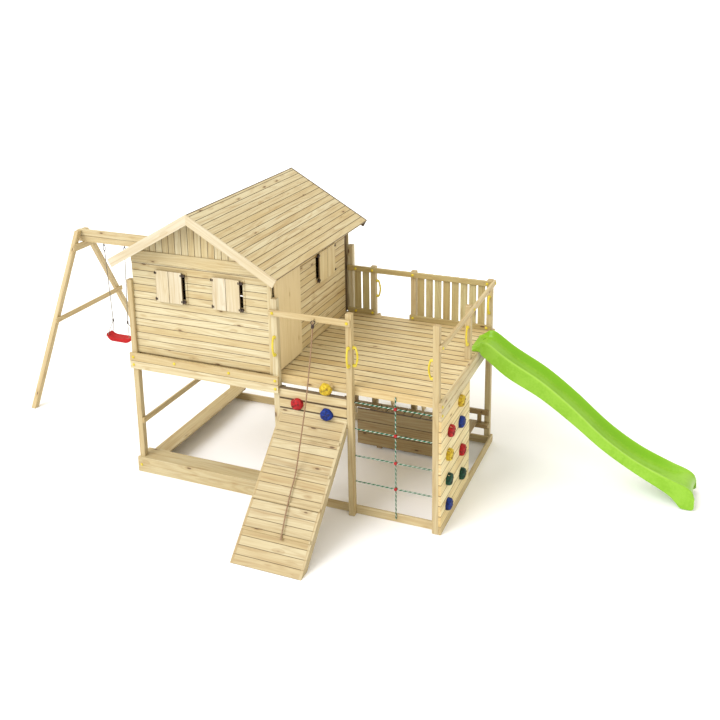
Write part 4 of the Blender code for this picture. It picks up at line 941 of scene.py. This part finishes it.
def dress_timber():
    """A finish for each group of timber nodes that lie alike."""
    posts = [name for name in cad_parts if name.startswith("post_")]
    front_leaves = ["shutter_left_a", "shutter_left_b", "shutter_right_a", "shutter_right_b"]
    side_leaves = ["shutter_side_a", "shutter_side_b"]
    level_rails = ["top_bar", "ground_beam_front", "ground_beam_back"]
    deep_rails = ["side_rail", "house_side_rail", "ground_beam_right", "swing_tie", "swing_brace"]
    # Copies of the timbers made darker or lighter part by part for the light each part gets: painted
    # shade on the railing, bench, ramp, sandpit and posts, and painted light on the climbing wall,
    # gables, deck, side walls, side leaves and door.
    railing_painted_shade_pine = toned(PINE, 0.78, 0.77, 0.62)
    bench_painted_shade_pine = toned(PINE, 0.66, 0.60, 0.52)
    climbing_wall_painted_light_pine = toned(PINE, 1.34, 1.35, 1.28)
    ramp_painted_shade_pine = toned(PINE, 0.84, 0.82, 0.78)
    sandpit_painted_shade_pine = toned(PINE, 0.90, 0.90, 0.88)
    post_painted_shade_pine = toned(PINE, 0.93, 0.93, 0.93)
    gable_painted_light_pine = toned(PINE, 1.02, 1.04, 1.06)
    deck_and_side_wall_painted_light_pine = toned(PINE, 1.10, 1.06, 0.98)
    side_leaf_painted_light_pine = toned(PALE_PINE, 1.10, 1.03, 0.80)
    door_painted_light_panel = toned(PANEL, 1.12, 1.12, 1.10)
    groups = (
        ("post_wood", post_painted_shade_pine, [lay(UP, RIGHT, 0.3, -0.15)], posts),
        ("gable_wall_wood", gable_painted_light_pine, gable_lays(), ["wall_front", "wall_back"]),
        ("side_wall_wood", deck_and_side_wall_painted_light_pine, side_lays(), ["wall_left", "wall_right"]),
        ("roof_wood", PINE, roof_lays(), ["roof_left", "roof_right"]),
        ("barge_wood", PALE_PINE, barge_lays(), ["barge_front"]),
        ("painted_shade_barge_wood", BARGE_PAINTED_SHADE_WOOD, barge_lays(), ["barge_back"]),
        ("deck_wood", deck_and_side_wall_painted_light_pine, deck_lays(), ["deck"]),
        ("ramp_wood", ramp_painted_shade_pine, ramp_lays(), ["ramp"]),
        (
            "climbing_wall_wood", climbing_wall_painted_light_pine,
            [lay(BACK, UP, CLIMB_WALL_PITCH, CLIMB_WALL_START, 0.006)], ["climbing_wall"],
        ),
        ("climb_board_wood", PINE, climb_board_lays(), ["climb_boards"]),
        ("front_fascia_wood", PINE, [lay(RIGHT, UP, 0.099, 1.312, 0.003, seed=2)], ["fascia_front"]),
        ("side_fascia_wood", PINE, [lay(BACK, UP, 0.105, 1.298, 0.003, seed=6)], ["fascia_side"]),
        ("cross_rail_wood", PINE, [lay(RIGHT, UP)], level_rails),
        ("deep_rail_wood", PINE, [lay(BACK, UP, seed=3)], deep_rails),
        ("railing_wood", railing_painted_shade_pine, railing_lays(), ["back_railing"]),
        ("sandpit_wood", sandpit_painted_shade_pine, sandpit_lays(), ["sandpit"]),
        ("bench_front_wood", bench_painted_shade_pine, [lay(RIGHT, UP, 0.158, 0.0343, 0.006)], ["bench_front"]),
        ("bench_seat_wood", bench_painted_shade_pine, [lay(BACK, RIGHT, 0.115, 2.1425)], ["bench_seat"]),
        ("ladder_wood", PINE, ladder_lays(), ["ladder"]),
        ("swing_beam_wood", PINE, [lay(RIGHT, UP, 0.090, 2.0025, 0.003)], ["swing_beam"]),
        ("front_leg_wood", PINE, leg_lays("swing_leg_front"), ["swing_leg_front"]),
        ("back_leg_wood", PINE, leg_lays("swing_leg_back"), ["swing_leg_back"]),
        ("leaf_wood", PALE_PINE, front_leaf_lays(), front_leaves),
        ("side_leaf_wood", side_leaf_painted_light_pine, [lay(UP, BACK, 0.221, 1.126, 0.004)], side_leaves),
        ("door_wood", door_painted_light_panel, [lay(UP, BACK)], ["door"]),
    )
    for name, wood, lays, nodes in groups:
        material = timber(name, wood, lays)
        for node in nodes:
            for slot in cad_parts[node].material_slots:
                slot.material = material


# Plastic pieces


def slide_section(skirt, floor):
    """Half of the slide's section, from the skirt's foot over the rolled rim to near the middle."""
    flare = SLIDE_FLARE * min(1.0, skirt / 0.15)
    inner = SLIDE_HALF - SLIDE_RIM - flare
    bottom = inner - floor * 0.28
    return [
        (SLIDE_HALF - 0.003, -skirt),
        (SLIDE_HALF - flare * 0.5, -skirt * 0.5),
        (SLIDE_HALF - flare, -0.016),
        (SLIDE_HALF - flare - 0.005, -0.001),
        (inner + 0.010, -0.001),
        (inner + 0.001, -0.010),
        (bottom + 0.006, -floor * 0.72),
        (bottom - 0.012, -floor * 0.96),
        (bottom - 0.050, -floor - 0.001),
        (0.045, -floor - 0.001),
    ]


def make_slide(material):
    """The moulded trough: rolled rims, a round floor and outer skirts along its wavy run."""
    steps = 5
    line = flowing([(x, skirt, z) for (x, z), skirt, _ in SLIDE_KNOTS], steps)
    floors = flowing([(0, depth, 0) for _, _, depth in SLIDE_KNOTS], steps)
    end = SLIDE_KNOTS[-1][0][0]
    rows = []
    for (x, skirt, z), (_, floor, _) in zip(line, floors):
        hollow = SLIDE_HOLLOW_END * max(0.0, 1 - (end - x) / SLIDE_HOLLOW_LENGTH)
        half = slide_section(skirt, floor)
        row = []
        for across, rise in half + [(-across, rise) for across, rise in reversed(half)]:
            inward = hollow * (1 - (across / SLIDE_HALF) ** 2)
            row.append((SLIDE_START + x - inward, SLIDE_Y - across, z + rise))
        rows.append(row)
    slide = sheet_of("slide_trough", rows)
    apply_modifier(slide, "SUBSURF", levels=2, render_levels=2)
    apply_modifier(slide, "SOLIDIFY", thickness=SLIDE_WALL, offset=-1.0)
    smooth(slide, 50)
    dress(slide, material, "frame", ["slide"])


def make_hand_hold(material):
    """A dark bar of painted shade in the curved groove of the hand hold at the slide's head."""
    middle = Vector((SLIDE_START, SLIDE_Y, HAND_HOLD_Z))
    route = [middle + Vector(spot) for spot in HAND_HOLD]
    groove = bar("slide_groove", route, HAND_HOLD_RADIUS, 3, [0.6, 1.0, 1.0, 0.6])
    smooth(groove, 50)
    dress(groove, material, "frame")


def make_handle():
    """A bowed grip with two round feet, standing on the ground and facing up."""
    route = []
    widths = []
    steps = 20
    for i in range(steps + 1):
        t = i / steps
        rise = math.sin(math.pi * (0.12 + 0.76 * t)) ** 0.7
        along = HANDLE_FOOT * 0.6 + (HANDLE_LENGTH - HANDLE_FOOT * 1.2) * t
        route.append((0, along, HANDLE_STAND_OFF * rise - 0.001))
        widths.append(0.92 + 0.10 * math.cos(math.tau * (t - 0.5) * 6) * (0.2 < t < 0.8))
    grip = bar("grip", route, HANDLE_RADIUS, 4, widths)
    feet = [grip]
    for along in (HANDLE_FOOT, HANDLE_LENGTH - HANDLE_FOOT):
        foot = cylinder("foot", 28, 0.019, 0.014, (0, along, 0.007))
        choose(foot, on_top)
        step_in(0.004, 0.016)
        bpy.ops.transform.resize(value=(0.82, 0.82, 1.0), center_override=(0, along, 0.03))
        done()
        bevel(foot, 0.0016)
        feet.append(foot)
    return join("grip", feet)


def make_handles(material):
    """A grip on each post, running up and standing out from it."""
    grip = make_handle()
    smooth(grip, 45)
    for name, foot, out in HANDLES:
        turned = Matrix((UP.cross(out), UP, out)).transposed().to_4x4()
        piece = twin(grip, name + "_grip", Matrix.Translation(foot) @ turned)
        dress(piece, material, "frame", [name])
    drop(grip)


def make_stone():
    """A lumpy, squared climbing stone, on the ground and facing up."""
    stone = fresh(bpy.ops.mesh.primitive_ico_sphere_add, "stone", subdivisions=5, radius=1.0)
    for vertex in stone.data.vertices:
        x, y, z = vertex.co
        out = math.hypot(x, y)
        around = math.atan2(y, x)
        lump = 0.025 * math.sin(5.1 * x + 1.3) * math.sin(4.3 * y + 0.4)
        lump += 0.02 * math.sin(7.7 * y - 3.1 * z)
        ridge = 0.035 * math.cos(3 * around + 0.6) * (1 - abs(z))
        wide = out**0.5 * (1.045 + lump + ridge)
        tall = math.copysign(abs(z) ** 0.5, z) * (1 + lump)
        vertex.co = (
            math.cos(around) * wide * STONE_WIDTH / 2,
            math.sin(around) * wide * STONE_HEIGHT / 2,
            tall * STONE_DEPTH * 1.06,
        )
    bpy.ops.object.mode_set(mode="EDIT")
    bpy.ops.mesh.select_all(action="SELECT")
    bpy.ops.mesh.bisect(plane_co=(0, 0, -0.0005), plane_no=(0, 0, 1), clear_inner=True, use_fill=True)
    done()
    smooth(stone, 60)
    return stone


def make_bolt_heads():
    """The three hollow bolt heads in a stone's face."""
    bolts = []
    for x, y in STONE_BOLTS:
        bolt = cylinder("stone_bolt", 20, 0.0105, 0.012, (x, y, STONE_DEPTH - 0.0005))
        choose(bolt, on_top)
        step_in(0.003, -0.004)
        done()
        bevel(bolt, 0.0008)
        bolts.append(bolt)
    return join("stone_bolts", bolts)


def make_stones(finishes, steel):
    """The climbing stones, every second one turned half round, each with its bolts."""
    stone = make_stone()
    heads = make_bolt_heads()
    for i, (colour, spot, out) in enumerate(STONES):
        place = facing(spot, out, i * math.pi)
        piece = twin(stone, f"stone_{colour}_{i + 1}", place)
        dress(piece, finishes[colour], "frame")
        dress(twin(heads, f"stone_bolts_{i + 1}", place), steel, "frame")
    drop(stone)
    drop(heads)


def make_seat(material):
    """The moulded swing seat, a strip that curls up at its ends with a rolled edge."""
    rows = []
    steps = 24
    for i in range(-1, steps + 2):
        x = SEAT_LENGTH * (min(max(i, 0), steps) / steps - 0.5)
        thick = SEAT_THICK if 0 <= i <= steps else 0.006
        curl = max(0.0, abs(x) - SEAT_FLAT) / (SEAT_LENGTH / 2 - SEAT_FLAT)
        rise = SEAT_CURL * curl * curl
        half = SEAT_DEPTH / 2 * (1.0 - 0.20 * curl**2)
        front = [
            (-half + 0.010, 0),
            (-half, 0.30),
            (-half + 0.001, 0.80),
            (-half + 0.012, 1.0),
            (-half * 0.6, 0.96),
        ]
        section = [*front, (0, 0.92), *[(-y, share) for y, share in reversed(front)]]
        rows.append([(SWING_X + x, DEPTH + y, SEAT_Z + rise + share * thick) for y, share in section])
    seat = sheet_of("swing_seat_shell", rows)
    apply_modifier(seat, "SUBSURF", levels=2, render_levels=2)
    apply_modifier(seat, "SOLIDIFY", thickness=0.005, offset=1.0)
    smooth(seat, 50)
    dress(seat, material, "swing", ["swing_seat"])


# Rope pieces


def make_climbing_rope(rope, dark):
    """The rope over the ramp, with its whipped end, its clamp and the ring that it hangs from."""
    route = flowing(CLIMB_ROPE_KNOTS, 3)
    piece = laid_rope("climbing_rope_strands", [route], CLIMB_ROPE_RADIUS, 0.050, THIRDS, RIGHT, 2)
    dress(piece, rope, "frame", ["climbing_rope"])
    end = route[-1]
    back = (route[-2] - end).normalized()
    whipping = sleeve("rope_end_whipping", end + back * 0.040, -back, 0.040, 0.0105)
    dress(whipping, rope, "frame")
    top = route[0]
    down = (route[1] - top).normalized()
    clamp = sleeve("rope_clamp", top + down * 0.030, down, 0.040, 0.0165)
    dress(clamp, dark, "frame")
    ring = fresh(
        bpy.ops.mesh.primitive_torus_add, "rope_ring", major_radius=0.021, minor_radius=0.0050,
        major_segments=36, minor_segments=12, location=(top.x, top.y, top.z - 0.010),
        rotation=(math.pi / 2, 0, math.radians(35)),
    )
    settle(ring)
    smooth(ring, 60)
    dress(ring, dark, "frame")


def make_net(green, white, red):
    """An upright rope and four level ones of two green strands and a white one, and their clamps."""
    level_y = NET_Y - 0.004
    level = [[(NET_LEFT, level_y, z), (NET_RIGHT, level_y, z)] for z in NET_HEIGHTS]
    upright = [(NET_X, NET_Y, NET_FOOT), (NET_X, NET_Y, NET_HEAD)]
    routes = [evenly(route, 0.1) for route in [upright, *level]]
    coloured = laid_rope("net_rope_green", routes, NET_ROPE_RADIUS, NET_ROPE_LAY, THIRDS[:2])
    dress(coloured, green, "frame", ["climbing_net"])
    pale = laid_rope("net_rope_white", routes, NET_ROPE_RADIUS, NET_ROPE_LAY, THIRDS[2:])
    dress(pale, white, "frame")
    clamp = cylinder("net_clamp", 32, 0.018, 0.028)
    choose(clamp, lambda _, normal: abs(normal.z) > 0.9)
    bpy.ops.mesh.inset(thickness=0.005)
    bpy.ops.transform.resize(value=(1.0, 1.0, 1.22))
    done()
    bevel(clamp, 0.003, 3)
    smooth(clamp, 45)
    for i, z in enumerate(NET_HEIGHTS):
        piece = twin(clamp, f"net_clamp_{i + 1}", facing((NET_X, NET_Y - 0.002, z), -BACK))
        dress(piece, red, "frame")
    drop(clamp)


def make_swing_link(label, middle, material):
    """The long ring that a swing rope is tied to."""
    link = fresh(
        bpy.ops.mesh.primitive_torus_add, f"swing_link_{label}", major_radius=0.020,
        minor_radius=0.0052, major_segments=40, minor_segments=12, rotation=(math.pi / 2, 0, 0),
    )
    settle(link)
    bpy.ops.object.mode_set(mode="EDIT")
    bpy.ops.mesh.select_all(action="SELECT")
    bpy.ops.transform.resize(value=(0.85, 1.0, 2.15), center_override=(0, 0, 0))
    done()
    link.data.transform(Matrix.Translation(middle))
    smooth(link, 60)
    dress(link, material, "swing")


def make_swing_swivel(label, top, material):
    """The ball in the beam that a link turns about, with its short neck."""
    swivel = fresh(
        bpy.ops.mesh.primitive_uv_sphere_add, f"swing_swivel_{label}", segments=24, ring_count=16,
        radius=0.0095, location=top,
    )
    settle(swivel)
    choose(swivel, lambda _, normal: normal.z < -0.9)
    bpy.ops.mesh.extrude_region_move(TRANSFORM_OT_translate={"value": (0, 0, -0.010)})
    bpy.ops.mesh.inset(thickness=0.001)
    done()
    smooth(swivel, 45)
    dress(swivel, material, "swing")


def make_swing_ropes(rope, steel, dark):
    """Two ropes from their links to a knot, each with an adjuster there and two tails to the seat."""
    curl = (TAIL_X - SEAT_FLAT) / (SEAT_LENGTH / 2 - SEAT_FLAT)
    seat_z = SEAT_Z + SEAT_CURL * curl * curl + SEAT_THICK - 0.004
    spread = SEAT_DEPTH / 2 - 0.020
    for side, label in ((-1, "left"), (1, "right")):
        name = f"swing_rope_{label}"
        top = Vector((SWING_X + side * SWING_TOP_HALF, DEPTH, SWING_PIVOT_Z))
        knot = Vector((SWING_X + side * SWING_FOOT_HALF, DEPTH, SWING_KNOT_Z))
        down = (knot - top).normalized()
        main = [top + down * LINK_FOOT, top + down * 0.5, knot]
        tails = []
        for way in (-1, 1):
            hole = Vector((SWING_X + side * TAIL_X, DEPTH + way * spread, seat_z))
            tails.append([knot, hole + UP * 0.020, hole])
        thick = laid_rope(name + "_main", [main], SWING_ROPE_RADIUS, 0.034, THIRDS, BACK)
        thin = laid_rope(name + "_tails", tails, SWING_ROPE_RADIUS * 0.8, 0.028, THIRDS, RIGHT)
        dress(join(name + "_laid", [thick, thin]), rope, "swing", [name])
        adjuster = sleeve(f"rope_adjuster_{label}", knot - down * 0.024, down, 0.042, 0.0115, 0.75)
        dress(adjuster, dark, "swing")
        make_swing_link(label, top + down * LINK_DROP, steel)
        make_swing_swivel(label, top, steel)


# Fittings

# Bolt caps: the middle of each on its board, and the way it faces
FASCIA_FACE = -0.0623
TOP_BAR_FACE = -0.0623
RAIL_INSIDE = 1.988
CAPS = (
    [((x, FASCIA_FACE, 1.458), -BACK) for x in (0.0, 0.55, 1.25, HOUSE_WIDTH)]
    + [((x, FASCIA_FACE, 1.364), -BACK) for x in (0.0, HOUSE_WIDTH)]
    + [((x, TOP_BAR_FACE, 2.233), -BACK) for x in (1.815, 2.672)]
    + [((WALL_FACE, y, z), RIGHT) for y in (0.0, DEPTH) for z in (1.452, 1.354)]
    + [((WALL_FACE, y, 2.092), RIGHT) for y in (0.0, SIDE_POST_Y, DEPTH)]
    + [((x, RAIL_INSIDE, z), -BACK) for z in (2.092, 1.533) for x in (1.90, LADDER_LEFT_X, 2.660, 3.60)]
    + [((x, FASCIA_FACE, 0.09), -BACK) for x in (0.0, HOUSE_WIDTH)]
)

# Hinges: the leaf, its outer edge, the ways off the leaf and out of the wall, and the bracket's width
NARROW = 0.0145
WIDE = 0.0370
HINGE_HEIGHTS = (("low", 2.206), ("high", 2.509))
LEAF_FACE = -0.0440
SIDE_LEAF_FACE = 1.8190
HINGES = (
    ("shutter_left_a", (0.366, LEAF_FACE), -RIGHT, -BACK, NARROW),
    ("shutter_left_b", (0.704, LEAF_FACE), RIGHT, -BACK, WIDE),
    ("shutter_right_a", (1.086, LEAF_FACE), -RIGHT, -BACK, NARROW),
    ("shutter_right_b", (1.424, LEAF_FACE), RIGHT, -BACK, WIDE),
    ("shutter_side_a", (SIDE_LEAF_FACE, 1.126), -BACK, RIGHT, WIDE),
    ("shutter_side_b", (SIDE_LEAF_FACE, 1.568), BACK, RIGHT, NARROW),
)


def plate(name, low, high, rim):
    """A steel plate with a sunk middle, between two corners."""
    size = [b - a for a, b in zip(low, high)]
    middle = [(a + b) / 2 for a, b in zip(low, high)]
    item = fresh(bpy.ops.mesh.primitive_cube_add, name, size=1.0, location=middle, scale=size)
    settle(item)
    choose(item, on_top)
    step_in(rim, -0.0005)
    done()
    bevel(item, 0.0005)
    return item


def make_hinges(steel):
    """Two hinges for each leaf: a cranked bracket on the wall's block and a plate on the leaf."""
    for width in (NARROW, WIDE):
        block = plate("hinge_bracket", (0.0002, -0.0138, -0.0205), (width, 0.0138, 0.0008), 0.003)
        knuckle = cylinder("knuckle", 16, 0.0034, 0.026, (0.0075, 0, 0.002), (math.pi / 2, 0, 0))
        bevel(knuckle, 0.0008)
        bracket = join("hinge_bracket", [block, knuckle])
        strap = plate("leaf_plate", (-0.018, -0.0125, -0.0004), (-0.0050, 0.0125, 0.0014), 0.002)
        for leaf, (x, y), away, out, reach in HINGES:
            if reach != width:
                continue
            for label, z in HINGE_HEIGHTS:
                turned = Matrix((away, out.cross(away), out)).transposed().to_4x4()
                place = Matrix.Translation((x, y, z)) @ turned
                dress(twin(bracket, f"{leaf}_bracket_{label}", place), steel, "frame")
                dress(twin(strap, f"{leaf}_plate_{label}", place), steel, leaf)
        drop(bracket)
        drop(strap)


def make_caps(material):
    """Yellow caps over the bolts that hold the boards to the posts."""
    cap = cylinder("bolt_cap", 28, 0.017, 0.004, (0, 0, 0.002))
    choose(cap, on_top)
    step_in(0.003, 0.005)
    bpy.ops.transform.resize(value=(0.84, 0.84, 1.0), center_override=(0, 0, 0.009))
    step_in(0.003, 0.002)
    done()
    bevel(cap, 0.0012)
    smooth(cap, 45)
    for i, (spot, out) in enumerate(CAPS):
        piece = twin(cap, f"bolt_cap_{i + 1}", facing(spot, out))
        dress(piece, material, "frame")
    drop(cap)


make_camera()
make_light()
make_floor()
dress_timber()

yellow = moulded("grip_plastic", shade(212, 188, 40), shade(226, 208, 72), 0.38)
# Painted light on the trough: painted shade on the far inner wall, a painted highlight along the near
# rim and a painted highlight on the floor beyond the middle.
trough_shade_and_highlights = (
    (SLIDE_Y + 0.130, SLIDE_Y + 0.190, 0.018, shade(124, 182, 12), 0.90),
    (SLIDE_Y - 0.205, SLIDE_Y - 0.186, 0.006, shade(170, 214, 84), 0.75),
    (SLIDE_Y + 0.040, SLIDE_Y + 0.090, 0.030, shade(152, 200, 84), 0.60),
)
green = moulded(
    "trough_plastic", shade(130, 182, 34), shade(144, 194, 54), 0.36, 40.0, 0.0, painted_shading_bands=trough_shade_and_highlights
)
# Darker green for the hand hold groove: painted shade.
groove_shade_plastic = moulded("groove_painted_shade_plastic", shade(52, 96, 0), shade(68, 116, 6), 0.5, coat=0.0)
seat_red = moulded("seat_red_plastic", shade(174, 2, 7), shade(192, 8, 14), 0.62, coat=0.0)
stone_shades = (
    ("yellow", shade(160, 120, 8), shade(228, 200, 50)),
    ("red", shade(112, 6, 12), shade(196, 26, 32)),
    ("blue", shade(4, 20, 70), shade(18, 56, 150)),
    ("green", shade(4, 34, 24), shade(14, 78, 56)),
)
stone_finishes = {
    colour: moulded(f"{colour}_stone", deep, bright, 0.6, 120.0, 0.0, 34.0)
    for colour, deep, bright in stone_shades
}
steel = metal("link_steel", (0.07, 0.07, 0.075, 1), (0.20, 0.20, 0.21, 1), 0.45)
dark_steel = metal("dark_steel", (0.04, 0.028, 0.024, 1), (0.10, 0.075, 0.065, 1), 0.5)
hemp = yarn("hemp_yarn", shade(132, 100, 74), shade(172, 144, 112))
pale_hemp = yarn("swing_yarn", shade(112, 106, 94), shade(152, 146, 132))
net_green = yarn("net_green_yarn", shade(12, 86, 58), shade(36, 118, 84))
net_white = yarn("net_white_yarn", shade(184, 192, 180), shade(214, 220, 210))
net_red = moulded("net_clamp_plastic", shade(156, 16, 22), shade(184, 28, 32), 0.4)

make_climbing_rope(hemp, dark_steel)
make_slide(green)
make_hand_hold(groove_shade_plastic)
make_handles(yellow)
make_stones(stone_finishes, dark_steel)
make_seat(seat_red)
make_net(net_green, net_white, net_red)
make_swing_ropes(pale_hemp, steel, dark_steel)
make_caps(yellow)
make_hinges(dark_steel)
